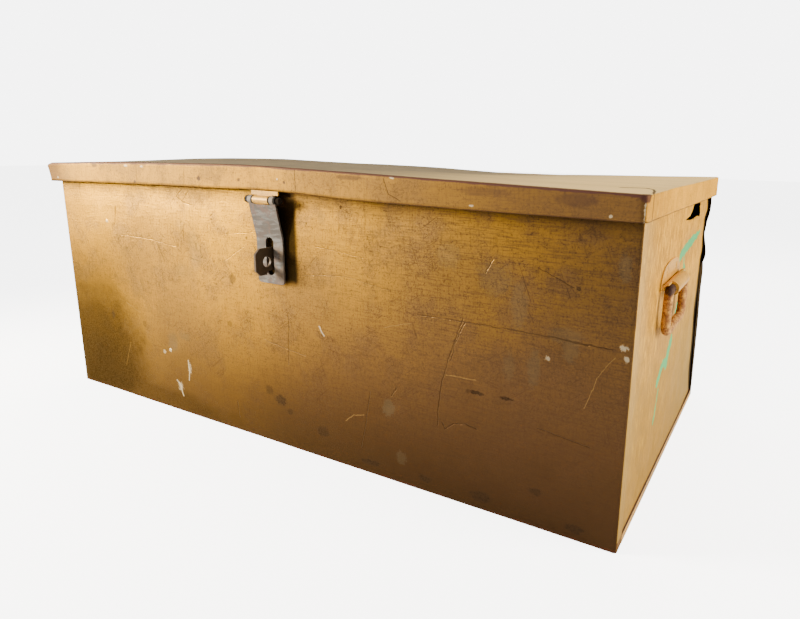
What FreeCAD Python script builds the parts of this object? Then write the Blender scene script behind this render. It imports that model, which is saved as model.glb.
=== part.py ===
import FreeCAD, Part
import math
import os
import re

import Sketcher
from FreeCAD import Placement, Rotation, Vector

# Sheet-steel tool chest. X runs along its length, Y from front to back and Z up, in millimetres.
# The origin is the centre of the underside. The case is five folded sheets, the lid is one folded pan
# on two hinges, a hasp drops over a staple at the front, a bail hangs at each end and a tray slides
# from front to back on two rails inside.

DIMENSIONS = [
    ("body_length", 762.0, "case, along X, outside"),
    ("body_depth", 406.0, "case, along Y, outside"),
    ("rim_height", 297.0, "top edge of the case"),
    ("gauge", 1.2, "thickness of the case and lid sheet"),
    ("fold_radius", 3.0, "outside radius of the case's upright folds"),
    ("hem_depth", 10.0, "doubled edge round the rim"),
    ("front_return", 16.0, "front sheet folded round onto the ends"),
    ("back_return", 9.0, "back sheet folded round onto the ends"),
    ("base_flange", 8.0, "floor sheet turned up outside the ends"),
    ("base_upstand", 12.0, "floor sheet turned up inside the front and back"),
    ("lid_top", 302.3, "top of the lid"),
    ("lid_flange", 23.6, "depth of the lid's flange"),
    ("lid_front_gap", 8.6, "lid beyond the front"),
    ("lid_back_gap", 3.4, "lid beyond the back"),
    ("lid_left_gap", 5.8, "lid beyond the left end"),
    ("lid_right_gap", 2.4, "lid beyond the right end"),
    ("lid_corner", 6.0, "upright corner radius of the lid"),
    ("lid_edge", 1.8, "radius of the lid's top fold"),
    ("arch_half_span", 165.0, "half of the stretch where the front flange's edge arches up"),
    ("arch_rise", 4.2, "height of that arch"),
    ("hinge_offset", 250.0, "hinge centre from the middle"),
    ("hinge_width", 60.0, "hinge along X"),
    ("hinge_axis_out", 4.2, "hinge pin outside the back panel"),
    ("hinge_axis_height", 274.3, "hinge pin above the floor"),
    ("hinge_knuckle_radius", 3.8, "outside of the hinge knuckle"),
    ("hinge_pin_radius", 2.2, "hinge pin"),
    ("hinge_leaf", 1.4, "thickness of a hinge leaf"),
    ("case_leaf_low", 238.0, "bottom edge of the case leaf"),
    ("lid_leaf_high", 298.0, "top edge of the lid leaf"),
    ("running_gap", 0.07, "radial clearance of a turning pin"),
    ("side_gap", 0.3, "gap between neighbouring knuckles"),
    ("moving_gap", 0.4, "least gap round a moving knuckle"),
    ("hasp_axis_out", 10.5, "hasp pin in front of the front panel"),
    ("hasp_axis_height", 275.5, "hasp pin above the floor"),
    ("hasp_knuckle_radius", 4.3, "outside of the hasp knuckle"),
    ("hasp_pin_radius", 2.2, "hasp pin"),
    ("hasp_middle", 21.0, "middle knuckle along X"),
    ("hasp_outer", 9.2, "outer knuckle along X"),
    ("hasp_width", 37.0, "hasp leaf along X"),
    ("hasp_gauge", 2.0, "thickness of the moving leaf"),
    ("hasp_stand", 2.0, "moving leaf in front of the front panel"),
    ("hasp_crank", 236.0, "height where the moving leaf turns upright"),
    ("hasp_low", 187.0, "bottom edge of the moving leaf"),
    ("hasp_corner", 4.0, "bottom corner radius of the moving leaf"),
    ("slot_width", 11.0, "slot in the moving leaf"),
    ("slot_low", 196.0, "bottom of the slot"),
    ("slot_high", 236.5, "top of the slot"),
    ("fixed_leaf", 1.8, "thickness of the hasp's fixed leaf"),
    ("eye_plate", 2.5, "thickness of the staple"),
    ("eye_reach", 25.0, "staple in front of the front panel"),
    ("eye_low", 198.0, "bottom edge of the staple"),
    ("eye_high", 226.0, "top edge of the staple"),
    ("eye_chamfer", 5.5, "cut corners of the staple"),
    ("eye_notch", 3.5, "step in the staple's lower edge at its root"),
    ("eye_hole_radius", 5.5, "padlock hole"),
    ("eye_hole_out", 9.8, "padlock hole in front of the front panel"),
    ("eye_hole_height", 211.5, "padlock hole above the floor"),
    ("foot_width", 40.0, "staple's foot inside the front panel"),
    ("foot_gauge", 2.0, "thickness of that foot"),
    ("handle_centre", -65.0, "middle of the end handles along Y"),
    ("handle_axis_height", 210.0, "bail pivot above the floor"),
    ("handle_axis_out", 7.2, "bail pivot outside the end panel"),
    ("bail_radius", 4.2, "bail rod"),
    ("bail_half_width", 42.0, "bail leg from the handle's middle"),
    ("bail_drop", 40.0, "bail grip below the pivot"),
    ("bail_bend", 10.0, "centreline radius of the bail's bends"),
    ("bail_room", 0.6, "gap between the bail and the hood's cover"),
    ("bail_end", 12.0, "end of the bail's pivot stub from the handle's middle"),
    ("hood_plate", 1.2, "thickness of the hood's plate"),
    ("hood_half_width", 46.0, "half of the hood's plate along Y"),
    ("hood_low", 208.0, "bottom edge of the hood's plate"),
    ("hood_shoulder", 219.0, "height where the hood's arch starts"),
    ("hood_high", 232.0, "top of the hood's arch"),
    ("hood_roundness", 2.4, "exponent of the arch, 2 for an ellipse"),
    ("hood_barrel_radius", 6.8, "outside of the hood's barrel"),
    ("hood_barrel_half", 30.0, "half length of the closed barrel"),
    ("hood_cover_half", 44.0, "half length of the open cover"),
    ("backing_gauge", 1.5, "plate inside the end panel"),
    ("backing_high", 230.0, "top edge of that plate"),
    ("rivet_shank", 1.6, "rivet shank radius"),
    ("rivet_head", 3.2, "rivet head radius"),
    ("rivet_rise", 0.9, "rivet head height"),
    ("rivet_tail", 2.6, "formed end radius"),
    ("rivet_tail_rise", 0.8, "formed end height"),
    ("rail_gauge", 2.0, "thickness of the tray rail"),
    ("rail_shelf", 22.0, "shelf of the tray rail along X"),
    ("rail_drop", 20.0, "upright leg of the tray rail"),
    ("rail_top", 186.0, "top of the rail's shelf"),
    ("rail_end_gap", 5.0, "rail short of the front and back"),
    ("tray_half_length", 372.5, "tray wall from the middle, outside"),
    ("tray_front", -196.0, "tray's front wall, outside"),
    ("tray_depth", 190.0, "tray along Y"),
    ("tray_base", 186.3, "underside of the tray"),
    ("tray_height", 62.0, "height of the tray"),
    ("tray_gauge", 1.0, "thickness of the tray sheet"),
    ("tray_lip", 1.6, "rolled rim beyond the tray's wall"),
    ("tray_lip_height", 4.0, "height of that rim"),
    ("tray_corner", 5.0, "upright corner radius of the tray"),
    ("divider_offset", 124.0, "dividers from the middle"),
    ("divider_flange", 12.0, "foot of a divider"),
    ("divider_height", 52.0, "height of a divider above the tray's floor"),
    ("clip_block", 9.0, "size of a grip clip across its bore"),
    ("clip_length", 7.0, "grip clip along Y"),
    ("clip_height", 238.0, "grip pivot above the floor"),
    ("grip_radius", 2.5, "grip wire"),
    ("grip_half_width", 40.0, "grip leg from the tray's middle"),
    ("grip_drop", 38.0, "grip below its pivot"),
    ("grip_bend", 6.0, "centreline radius of the grip's bends"),
    ("grip_end", 24.0, "end of the grip's stub from the tray's middle"),
]

END_RIVETS = [(-24.0, 223.5), (24.0, 223.5)]
HINGE_RIVETS = (-20.0, 0.0, 20.0)
CASE_RIVET_HEIGHT = 247.0
LID_RIVET_HEIGHT = 290.0
STAPLE_RIVETS = [(-12.5, 204.5), (12.5, 204.5), (-12.5, 219.5), (12.5, 219.5)]

# Outline of the tear in the right end panel, as (Y, Z) corners from its front tip round the top.
TEAR = [
    (-8.0, 264.5),
    (24.0, 270.0),
    (38.0, 279.0),
    (48.0, 286.0),
    (86.0, 286.0),
    (92.0, 277.0),
    (89.0, 260.5),
    (46.0, 262.5),
]

ACROSS_X = Rotation(Vector(0, 1, 0), 90)
ACROSS_Y = Rotation(Vector(1, 0, 0), -90)

doc = FreeCAD.newDocument("ToolChest")
sheet = doc.addObject("Spreadsheet::Sheet", "Dims")
nodes = {}


# ---- the sheet of driving dimensions ----

def fill_sheet():
    """One row per dimension: its name, its value under that alias and what it is."""
    for row, (alias, value, note) in enumerate(DIMENSIONS, start=1):
        sheet.set(f"A{row}", alias)
        sheet.set(f"B{row}", str(value))
        sheet.setAlias(f"B{row}", alias)
        sheet.set(f"C{row}", note)
    doc.recompute()


def size(alias):
    """A driving dimension's value."""
    return float(sheet.get(alias))


def bound(text):
    """An expression in which each dimension's name points at its cell."""
    return re.sub(r"[a-z][a-z_]+", r"Dims.\g<0>", str(text))


def bind(item, expressions):
    """Bind several properties of an object to the sheet."""
    for name, text in expressions.items():
        item.setExpression(name, bound(text))


# ---- plain solids ----

def box(name, low, span):
    """A block from its lowest corner and its sides."""
    item = doc.addObject("Part::Box", name)
    bind(item, dict(zip(("Length", "Width", "Height"), span)))
    bind(item, dict(zip(("Placement.Base.x", "Placement.Base.y", "Placement.Base.z"), low)))
    return item


def rod(name, start, radius, length, turn=ACROSS_X):
    """A cylinder from the centre of its first end, along X or Y."""
    item = doc.addObject("Part::Cylinder", name)
    item.Placement = Placement(Vector(0, 0, 0), turn)
    bind(item, {"Radius": radius, "Height": length})
    bind(item, dict(zip(("Placement.Base.x", "Placement.Base.y", "Placement.Base.z"), start)))
    return item


def fuse(name, items):
    """One solid of several that meet."""
    item = doc.addObject("Part::MultiFuse", name)
    item.Shapes = items
    item.Refine = True
    return item


def cut(name, base, tools):
    """A solid less one or more others."""
    item = doc.addObject("Part::Cut", name)
    item.Base = base
    item.Tool = tools[0] if len(tools) == 1 else fuse(f"{name}_tools", tools)
    return item


def node(label, item):
    """Register a finished sub-part under its own name."""
    item.Label = label
    nodes[label] = item
    return item


# ---- sketched solids ----

def origin_plane(body, role):
    return next(f for f in body.Origin.OriginFeatures if f.Role == role)


def outline(body, name, role, corners, level="0"):
    """A closed outline on one of the body's own planes. Both coordinates of each corner are bound."""
    sketch = body.newObject("Sketcher::SketchObject", name)
    sketch.AttachmentSupport = (origin_plane(body, role), [""])
    sketch.MapMode = "FlatFace"
    sketch.setExpression("AttachmentOffset.Base.z", bound(level))
    count = len(corners)
    turns = [2 * math.pi * i / count for i in range(count)]
    ring = [Vector(100 * math.cos(turn), 100 * math.sin(turn), 0) for turn in turns]
    for i in range(count):
        sketch.addGeometry(Part.LineSegment(ring[i], ring[(i + 1) % count]))
    for i in range(count):
        sketch.addConstraint(Sketcher.Constraint("Coincident", i, 2, (i + 1) % count, 1))
    for i, corner in enumerate(corners):
        for kind, start, text in zip(("DistanceX", "DistanceY"), (ring[i].x, ring[i].y), corner):
            number = sketch.addConstraint(Sketcher.Constraint(kind, -1, 1, i, 1, start))
            sketch.setExpression(f"Constraints[{number}]", bound(text))
    doc.recompute()
    return sketch


def pad(body, sketch, length, both_ways=False):
    """Material along the sketch's normal, to one side or equally to both."""
    feature = body.newObject("PartDesign::Pad", f"{sketch.Name}_pad")
    feature.Profile = sketch
    feature.setExpression("Length", bound(length))
    feature.Midplane = both_ways
    doc.recompute()
    return feature


def pocket_through(body, sketch):
    """A hole right through the body, both ways from the sketch."""
    before = body.Shape.Volume
    feature = body.newObject("PartDesign::Pocket", f"{sketch.Name}_pocket")
    feature.Profile = sketch
    feature.Type = "ThroughAll"
    feature.Midplane = True
    doc.recompute()
    if body.Shape.Volume >= before:
        raise RuntimeError(f"{sketch.Name} removed nothing")
    return feature


def along(edge, direction):
    """Whether an edge is straight and runs along a direction."""
    if not isinstance(edge.Curve, Part.Line):
        return False
    return abs(edge.tangentAt(edge.FirstParameter).dot(direction)) > 0.999


def edge_names(feature, wanted):
    """The names of a feature's edges that pass a test."""
    return [f"Edge{i}" for i, edge in enumerate(feature.Shape.Edges, start=1) if wanted(edge)]


def fillet(body, feature, wanted, radius):
    """Round the edges that pass a test."""
    item = body.newObject("PartDesign::Fillet", f"{feature.Name}_fillet")
    item.Base = (feature, edge_names(feature, wanted))
    item.setExpression("Radius", bound(radius))
    doc.recompute()
    return item


def hollow(body, feature, normal, level, gauge):
    """Leave a shell of the given gauge, open on the flat side that faces along normal at a level."""
    faces = [
        f"Face{i}"
        for i, face in enumerate(feature.Shape.Faces, start=1)
        if isinstance(face.Surface, Part.Plane)
        and face.normalAt(0, 0).dot(normal) > 0.999
        and abs(face.CenterOfMass.dot(normal) - level) < 0.01
    ]
    item = body.newObject("PartDesign::Thickness", f"{feature.Name}_shell")
    item.Base = (feature, faces)
    item.setExpression("Value", bound(gauge))
    item.Reversed = True
    doc.recompute()
    return item


# ---- rivets and bent rods ----

def rivet(grip):
    """A rivet along +Z: a domed head at the top of its grip and a formed end below it."""
    head = size("rivet_head")
    crown = Vector(0, 0, grip + size("rivet_rise"))
    shoulder = Vector(0.72 * head, 0, grip + 0.55 * size("rivet_rise"))
    rim = Vector(head, 0, grip)
    tail = size("rivet_tail")
    below = -size("rivet_tail_rise")
    corners = [
        rim,
        Vector(size("rivet_shank"), 0, grip),
        Vector(size("rivet_shank"), 0, 0),
        Vector(tail, 0, 0),
        Vector(0.8 * tail, 0, below),
        Vector(0, 0, below),
        crown,
    ]
    edges = [Part.LineSegment(a, b).toShape() for a, b in zip(corners, corners[1:])]
    edges.append(Part.Arc(crown, shoulder, rim).toShape())
    return Part.Face(Part.Wire(edges)).revolve(Vector(0, 0, 0), Vector(0, 0, 1), 360)


def rivet_group(label, places, grip, facing):
    """Rivets whose formed ends start at the given places and whose heads face along a direction."""
    turn = Rotation(Vector(0, 0, 1), facing)
    solids = []
    for place in places:
        solid = rivet(grip)
        solid.Placement = Placement(place, turn)
        solids.append(solid)
    item = doc.addObject("Part::Feature", label)
    item.Shape = Part.makeCompound(solids)
    return node(label, item)


def rivet_holes(name, places, facing):
    """Drills for a group of rivets, long enough to pass the sheets on both sides."""
    reach = 12.0
    drills = [Part.makeCylinder(size("rivet_shank"), 2 * reach, p - facing * reach, facing) for p in places]
    item = doc.addObject("Part::Feature", name)
    item.Shape = Part.makeCompound(drills)
    return item


def bent_rod(corners, bend, radius):
    """A round rod along straight runs joined by tangent arcs of one radius."""
    edges = []
    start = corners[0]
    for before, here, after in zip(corners, corners[1:], corners[2:]):
        inward = (before - here).normalize()
        onward = (after - here).normalize()
        half = inward.getAngle(onward) / 2
        first = here + inward * (bend / math.tan(half))
        last = here + onward * (bend / math.tan(half))
        bisector = (inward + onward).normalize()
        middle = here + bisector * (bend / math.sin(half) - bend)
        edges.append(Part.LineSegment(start, first).toShape())
        edges.append(Part.Arc(first, middle, last).toShape())
        start = last
    edges.append(Part.LineSegment(start, corners[-1]).toShape())
    path = Part.Wire(edges)
    section = Part.Wire(Part.makeCircle(radius, corners[0], corners[1] - corners[0]))
    solid = path.makePipeShell([section], True, True)
    length = sum(edge.Length for edge in edges)
    if abs(solid.Volume / (math.pi * radius**2 * length) - 1) > 0.01:
        raise RuntimeError("a bent rod has the wrong volume")
    return solid


def drop_handle(label, x, pivot_height, centre, half_width, drop, bend, radius, stub_end):
    """A U of rod in a plane across X, hanging from two stubs that turn in along Y."""
    low = pivot_height - drop
    ends = [
        Vector(x, centre - stub_end, pivot_height),
        Vector(x, centre - half_width, pivot_height),
        Vector(x, centre - half_width, low),
        Vector(x, centre + half_width, low),
        Vector(x, centre + half_width, pivot_height),
        Vector(x, centre + stub_end, pivot_height),
    ]
    item = doc.addObject("Part::Feature", label)
    item.Shape = bent_rod(ends, bend, radius)
    return node(label, item)


# ---- case ----

def wrapped_panel(name, side, turned):
    """A front or back sheet whose ends fold round onto the end panels. side is -1 or 1 along Y."""
    face = f"{side} * body_depth / 2"
    inner = f"{side} * (body_depth / 2 - gauge)"
    edge = f"{side} * (body_depth / 2 - {turned})"
    out = "body_length / 2"
    inside = "(body_length / 2 - gauge)"
    corners = [
        (f"-{out}", edge),
        (f"-{out}", face),
        (out, face),
        (out, edge),
        (inside, edge),
        (inside, inner),
        (f"-{inside}", inner),
        (f"-{inside}", edge),
    ]
    body = doc.addObject("PartDesign::Body", f"{name}_sheet")
    sheet_pad = pad(body, outline(body, f"{name}_plan", "XY_Plane", corners), "rim_height")
    upright = Vector(0, 0, 1)
    half_length = size("body_length") / 2
    half_depth = size("body_depth") / 2

    def near_corner(edge, inset):
        if not along(edge, upright):
            return False
        spot = edge.CenterOfMass
        off_x = abs(spot.x) - half_length + inset
        off_y = side * spot.y - half_depth + inset
        return abs(off_x) < 0.01 and abs(off_y) < 0.01

    outer = fillet(body, sheet_pad, lambda edge: near_corner(edge, 0), "fold_radius")
    inset = size("gauge")
    fillet(body, outer, lambda edge: near_corner(edge, inset), "fold_radius - gauge")
    hem_end = "(body_length / 2 - 2 * gauge - 1)"
    hem_in = f"{side} * (body_depth / 2 - 2 * gauge)"
    hem = [(f"-{hem_end}", inner), (hem_end, inner), (hem_end, hem_in), (f"-{hem_end}", hem_in)]
    hem_plan = outline(body, f"{name}_hem", "XY_Plane", hem, "rim_height - hem_depth")
    pad(body, hem_plan, "hem_depth")
    return body


def front_panel():
    body = wrapped_panel("front", -1, "front_return")
    slot_low = ("-eye_plate / 2", "-body_depth / 2 - 1", "eye_low + eye_notch")
    slot_span = ("eye_plate", "gauge + 2", "eye_high - eye_low - eye_notch")
    drills = rivet_holes("staple_drills", staple_rivet_places(), Vector(0, -1, 0))
    node("front_panel", cut("front_cut", body, [box("eye_slot", slot_low, slot_span), drills]))


def back_panel():
    body = wrapped_panel("back", 1, "back_return")
    drills = rivet_holes("case_leaf_drills", case_rivet_places(), Vector(0, 1, 0))
    node("back_panel", cut("back_cut", body, [drills]))


def end_panel(hand, side):
    """An end sheet behind the returns, standing on the floor sheet. side is -1 or 1 along X."""
    corner_gap = "(body_depth / 2 - fold_radius)"
    plate = [
        (f"-{corner_gap}", "gauge"),
        (corner_gap, "gauge"),
        (corner_gap, "rim_height"),
        (f"-{corner_gap}", "rim_height"),
    ]
    hem_low = "(rim_height - hem_depth)"
    hem = [
        (f"-{corner_gap}", hem_low),
        (corner_gap, hem_low),
        (corner_gap, "rim_height"),
        (f"-{corner_gap}", "rim_height"),
    ]
    body = doc.addObject("PartDesign::Body", f"end_{hand}_sheet")
    # A sheet or hem is one gauge thick, centred on its own plane.
    sheet_level = f"{side} * (body_length / 2 - 1.5 * gauge)"
    hem_level = f"{side} * (body_length / 2 - 2.5 * gauge)"
    pad(body, outline(body, f"end_{hand}_plan", "YZ_Plane", plate, sheet_level), "gauge", both_ways=True)
    pad(body, outline(body, f"end_{hand}_hem", "YZ_Plane", hem, hem_level), "gauge", both_ways=True)
    if side > 0:
        pocket_through(body, outline(body, "tear", "YZ_Plane", TEAR, sheet_level))
    drills = rivet_holes(f"end_{hand}_drills", handle_rivet_places(side), Vector(side, 0, 0))
    node(f"end_panel_{hand}", cut(f"end_{hand}_cut", body, [drills]))


def base_pan():
    """The floor sheet with its four upstands."""
    half = "(body_depth / 2 - gauge)"
    inside = "(body_length / 2 - gauge)"
    notch = "(fold_radius - gauge)"
    corners = [
        (f"-{inside} + {notch}", f"-{half}"),
        (f"{inside} - {notch}", f"-{half}"),
        (inside, f"-{half} + {notch}"),
        (inside, f"{half} - {notch}"),
        (f"{inside} - {notch}", half),
        (f"-{inside} + {notch}", half),
        (f"-{inside}", f"{half} - {notch}"),
        (f"-{inside}", f"-{half} + {notch}"),
    ]
    body = doc.addObject("PartDesign::Body", "floor_sheet")
    pad(body, outline(body, "floor_plan", "XY_Plane", corners), "gauge")
    pieces = [body]
    run = "body_depth - front_return - back_return - 1"
    for side in (-1, 1):
        low_x = "body_length / 2 - gauge" if side > 0 else "-body_length / 2"
        low = (low_x, "-body_depth / 2 + front_return + 0.5", "0")
        pieces.append(box("floor_end_flange", low, ("gauge", run, "base_flange")))
        low_y = "body_depth / 2 - 2 * gauge" if side > 0 else "-body_depth / 2 + gauge"
        low = ("-body_length / 2 + base_upstand", low_y, "0")
        span = ("body_length - 2 * base_upstand", "gauge", "base_upstand")
        pieces.append(box("floor_upstand", low, span))
    node("base_pan", fuse("base_fused", pieces))


# ---- lid ----

def lid_pan():
    """A pan folded from one sheet, open below. Its front edge arches up over the hasp."""
    left = "-body_length / 2 - lid_left_gap"
    right = "body_length / 2 + lid_right_gap"
    front = "-body_depth / 2 - lid_front_gap"
    back = "body_depth / 2 + lid_back_gap"
    corners = [(left, front), (right, front), (right, back), (left, back)]
    body = doc.addObject("PartDesign::Body", "lid_sheet")
    block = pad(body, outline(body, "lid_plan", "XY_Plane", corners, "lid_top - lid_flange"), "lid_flange")
    upright = Vector(0, 0, 1)
    rounded = fillet(body, block, lambda edge: along(edge, upright), "lid_corner")
    top = size("lid_top")
    folded = fillet(body, rounded, lambda edge: abs(edge.BoundBox.ZMin - top) < 0.01, "lid_edge")
    hollow(body, folded, Vector(0, 0, -1), size("lid_flange") - top, "gauge")
    radius = "(arch_half_span * arch_half_span + arch_rise * arch_rise) / (2 * arch_rise)"
    start = ("0", "-body_depth / 2 - lid_front_gap - 1", f"lid_top - lid_flange + arch_rise - {radius}")
    arch = rod("flange_arch", start, radius, "gauge + 2", ACROSS_Y)
    drills = rivet_holes("lid_leaf_drills", lid_rivet_places(), Vector(0, 1, 0))
    node("lid_pan", cut("lid_cut", body, [arch, drills]))


# ---- hinges ----

def hinge(hand, side):
    """A five-knuckle hinge outside the back. The case leaf has the outer and middle knuckles."""
    left = f"{side} * hinge_offset - hinge_width / 2"
    axis = ("body_depth / 2 + hinge_axis_out", "hinge_axis_height")
    pitch = "hinge_width / 5"

    def knuckles(numbers):
        return [
            rod(
                "hinge_knuckle",
                (f"{left} + {i} * {pitch} + side_gap / 2", *axis),
                "hinge_knuckle_radius",
                f"{pitch} - side_gap",
            )
            for i in numbers
        ]

    def gaps(numbers, low_height, height):
        return [
            box(
                "knuckle_gap",
                (f"{left} + {i} * {pitch} - side_gap / 2", "body_depth / 2 - 1", low_height),
                (f"{pitch} + side_gap", "hinge_knuckle_radius * 3", height),
            )
            for i in numbers
        ]

    case_low = (left, "body_depth / 2", "case_leaf_low")
    case_span = ("hinge_width", "hinge_leaf", "hinge_axis_height - case_leaf_low")
    case_leaf = box("case_plate", case_low, case_span)
    room = "hinge_axis_height - hinge_knuckle_radius - moving_gap"
    bore = rod("case_bore", (f"{left} - 1", *axis), "hinge_pin_radius", "hinge_width + 2")
    drills = rivet_holes("case_leaf_holes", case_rivet_places(), Vector(0, 1, 0))
    clear = gaps((1, 3), room, "hinge_knuckle_radius * 3")
    joined = fuse("case_leaf_fused", [cut("case_leaf_notched", case_leaf, clear), *knuckles((0, 2, 4))])
    node(f"hinge_{hand}_case_leaf", cut(f"case_leaf_{hand}", joined, [bore, drills]))

    lid_low = (left, "body_depth / 2 + lid_back_gap", "hinge_axis_height")
    lid_leaf = box("lid_plate", lid_low, ("hinge_width", "hinge_leaf", "lid_leaf_high - hinge_axis_height"))
    bore = rod("lid_bore", (f"{left} - 1", *axis), "hinge_pin_radius + running_gap", "hinge_width + 2")
    drills = rivet_holes("lid_leaf_holes", lid_rivet_places(), Vector(0, 1, 0))
    clear = gaps((0, 2, 4), "hinge_axis_height - 1", "hinge_knuckle_radius + moving_gap + 1")
    joined = fuse("lid_leaf_fused", [cut("lid_leaf_notched", lid_leaf, clear), *knuckles((1, 3))])
    node(f"hinge_{hand}_lid_leaf", cut(f"lid_leaf_{hand}", joined, [bore, drills]))

    pin = rod("pin_shaft", (f"{left} + side_gap / 2", *axis), "hinge_pin_radius", "hinge_width - side_gap")
    heads = [
        rod("pin_head", (start, *axis), "hinge_pin_radius + 0.5", "1")
        for start in (f"{left} + side_gap / 2 - 1", f"{left} + hinge_width - side_gap / 2")
    ]
    node(f"hinge_{hand}_pin", fuse(f"pin_{hand}", [pin, *heads]))


def case_rivet_places():
    """Inner faces of the case leaves' rivets, on the inside of the back panel."""
    y = size("body_depth") / 2 - size("gauge")
    centres = (-size("hinge_offset"), size("hinge_offset"))
    return [Vector(c + dx, y, CASE_RIVET_HEIGHT) for c in centres for dx in HINGE_RIVETS]


def lid_rivet_places():
    """Inner faces of the lid leaves' rivets, on the inside of the lid's rear flange."""
    y = size("body_depth") / 2 + size("lid_back_gap") - size("gauge")
    centres = (-size("hinge_offset"), size("hinge_offset"))
    return [Vector(c + dx, y, LID_RIVET_HEIGHT) for c in centres for dx in HINGE_RIVETS]


def hinge_rivets():
    grip = size("gauge") + size("hinge_leaf")
    rivet_group("hinge_case_rivets", case_rivet_places(), grip, Vector(0, 1, 0))
    rivet_group("hinge_lid_rivets", lid_rivet_places(), grip, Vector(0, 1, 0))


# ---- hasp and staple ----

HASP_AXIS = ("-body_depth / 2 - hasp_axis_out", "hasp_axis_height")


def hasp_fixed_leaf():
    """The leaf inside the lid's front flange, with the middle knuckle hanging below it."""
    back = "-body_depth / 2 - lid_front_gap + gauge"
    shoulder = "hasp_axis_height + hasp_knuckle_radius + moving_gap"
    high = "lid_top - gauge - lid_edge"
    wide_span = ("hasp_width", "fixed_leaf", f"{high} - ({shoulder})")
    wide = box("fixed_wide", ("-hasp_width / 2", back, shoulder), wide_span)
    neck_low = ("-hasp_middle / 2", back, "hasp_axis_height")
    neck = box("fixed_neck", neck_low, ("hasp_middle", "fixed_leaf", "hasp_knuckle_radius + moving_gap"))
    knuckle = rod("fixed_knuckle", ("-hasp_middle / 2", *HASP_AXIS), "hasp_knuckle_radius", "hasp_middle")
    bore = rod("fixed_bore", ("-hasp_middle", *HASP_AXIS), "hasp_pin_radius", "2 * hasp_middle")
    node("hasp_fixed_leaf", cut("fixed_leaf_cut", fuse("fixed_leaf_fused", [wide, neck, knuckle]), [bore]))


def hasp_pin():
    """A pin with a short formed head on the left and a longer plain end on the right."""
    reach = "(hasp_middle / 2 + side_gap + hasp_outer + side_gap)"
    shaft = rod("hasp_shaft", (f"-{reach}", *HASP_AXIS), "hasp_pin_radius", f"2 * {reach}")
    left = rod("hasp_head", (f"-{reach} - 2", *HASP_AXIS), "hasp_pin_radius + 1.3", "2")
    right = rod("hasp_tail", (reach, *HASP_AXIS), "hasp_pin_radius + 1.1", "4.5")
    node("hasp_pin", fuse("hasp_pin_fused", [shaft, left, right]))


def hasp_strap():
    """The slotted leaf: slanted in from its knuckles, then upright in front of the panel."""
    rear = "(-body_depth / 2 - hasp_stand)"
    front = "(-body_depth / 2 - hasp_stand - hasp_gauge)"
    top = "hasp_axis_height - 2.5"
    profile = [
        (front, "hasp_low"),
        (rear, "hasp_low"),
        (rear, "hasp_crank"),
        ("-body_depth / 2 - hasp_axis_out + 0.4", top),
        ("-body_depth / 2 - hasp_axis_out - 1.7", top),
        (front, "hasp_crank - 0.5"),
    ]
    body = doc.addObject("PartDesign::Body", "strap_sheet")
    leaf = pad(body, outline(body, "strap_profile", "YZ_Plane", profile), "hasp_width", both_ways=True)
    across = Vector(0, 1, 0)
    low = size("hasp_low")

    def bottom_corner(edge):
        return along(edge, across) and abs(edge.BoundBox.ZMax - low) < 0.01

    fillet(body, leaf, bottom_corner, "hasp_corner")
    starts = ("hasp_middle / 2 + side_gap", "-hasp_middle / 2 - side_gap - hasp_outer")
    knuckles = [rod("strap_knuckle", (x, *HASP_AXIS), "hasp_knuckle_radius", "hasp_outer") for x in starts]
    bore = rod("strap_bore", ("-hasp_width", *HASP_AXIS), "hasp_pin_radius + running_gap", "2 * hasp_width")
    gap_low = (
        "-hasp_middle / 2 - side_gap",
        "-body_depth / 2 - 2 * hasp_axis_out",
        "hasp_axis_height - hasp_knuckle_radius - moving_gap",
    )
    gap_span = ("hasp_middle + 2 * side_gap", "2 * hasp_axis_out", "3 * hasp_knuckle_radius")
    gap = box("strap_gap", gap_low, gap_span)
    far = "-body_depth / 2 - 2 * hasp_axis_out"
    slot_low = ("-slot_width / 2", far, "slot_low + slot_width / 2")
    slot_span = ("slot_width", "2 * hasp_axis_out", "slot_high - slot_low - slot_width")
    slot = box("strap_slot", slot_low, slot_span)
    rounds = [
        rod("slot_end", ("0", far, height), "slot_width / 2", "2 * hasp_axis_out", ACROSS_Y)
        for height in ("slot_low + slot_width / 2", "slot_high - slot_width / 2")
    ]
    joined = fuse("strap_fused", [body, *knuckles])
    node("hasp_strap", cut("strap_cut", joined, [bore, gap, slot, *rounds]))


def staple():
    """The eye plate stands out through the front panel from a foot riveted inside it."""
    root = "(-body_depth / 2 + gauge)"
    tip = "(-body_depth / 2 - eye_reach)"
    profile = [
        (root, "eye_low + eye_notch"),
        (root, "eye_high"),
        (f"{tip} + eye_chamfer", "eye_high"),
        (tip, "eye_high - eye_chamfer"),
        (tip, "eye_low + eye_chamfer"),
        (f"{tip} + eye_chamfer", "eye_low"),
        ("-body_depth / 2 - hasp_axis_out", "eye_low"),
        ("-body_depth / 2 - hasp_axis_out + 1", "eye_low + eye_notch"),
    ]
    body = doc.addObject("PartDesign::Body", "eye_sheet")
    pad(body, outline(body, "eye_profile", "YZ_Plane", profile), "eye_plate", both_ways=True)
    foot_span = ("foot_width", "foot_gauge", "eye_high - eye_low")
    foot = box("eye_foot", ("-foot_width / 2", root, "eye_low"), foot_span)
    start = ("-eye_plate", "-body_depth / 2 - eye_hole_out", "eye_hole_height")
    hole = rod("eye_hole", start, "eye_hole_radius", "2 * eye_plate")
    drills = rivet_holes("foot_drills", staple_rivet_places(), Vector(0, -1, 0))
    node("staple", cut("staple_cut", fuse("staple_fused", [body, foot]), [hole, drills]))
    grip = size("gauge") + size("foot_gauge")
    rivet_group("staple_rivets", staple_rivet_places(), grip, Vector(0, -1, 0))


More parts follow.
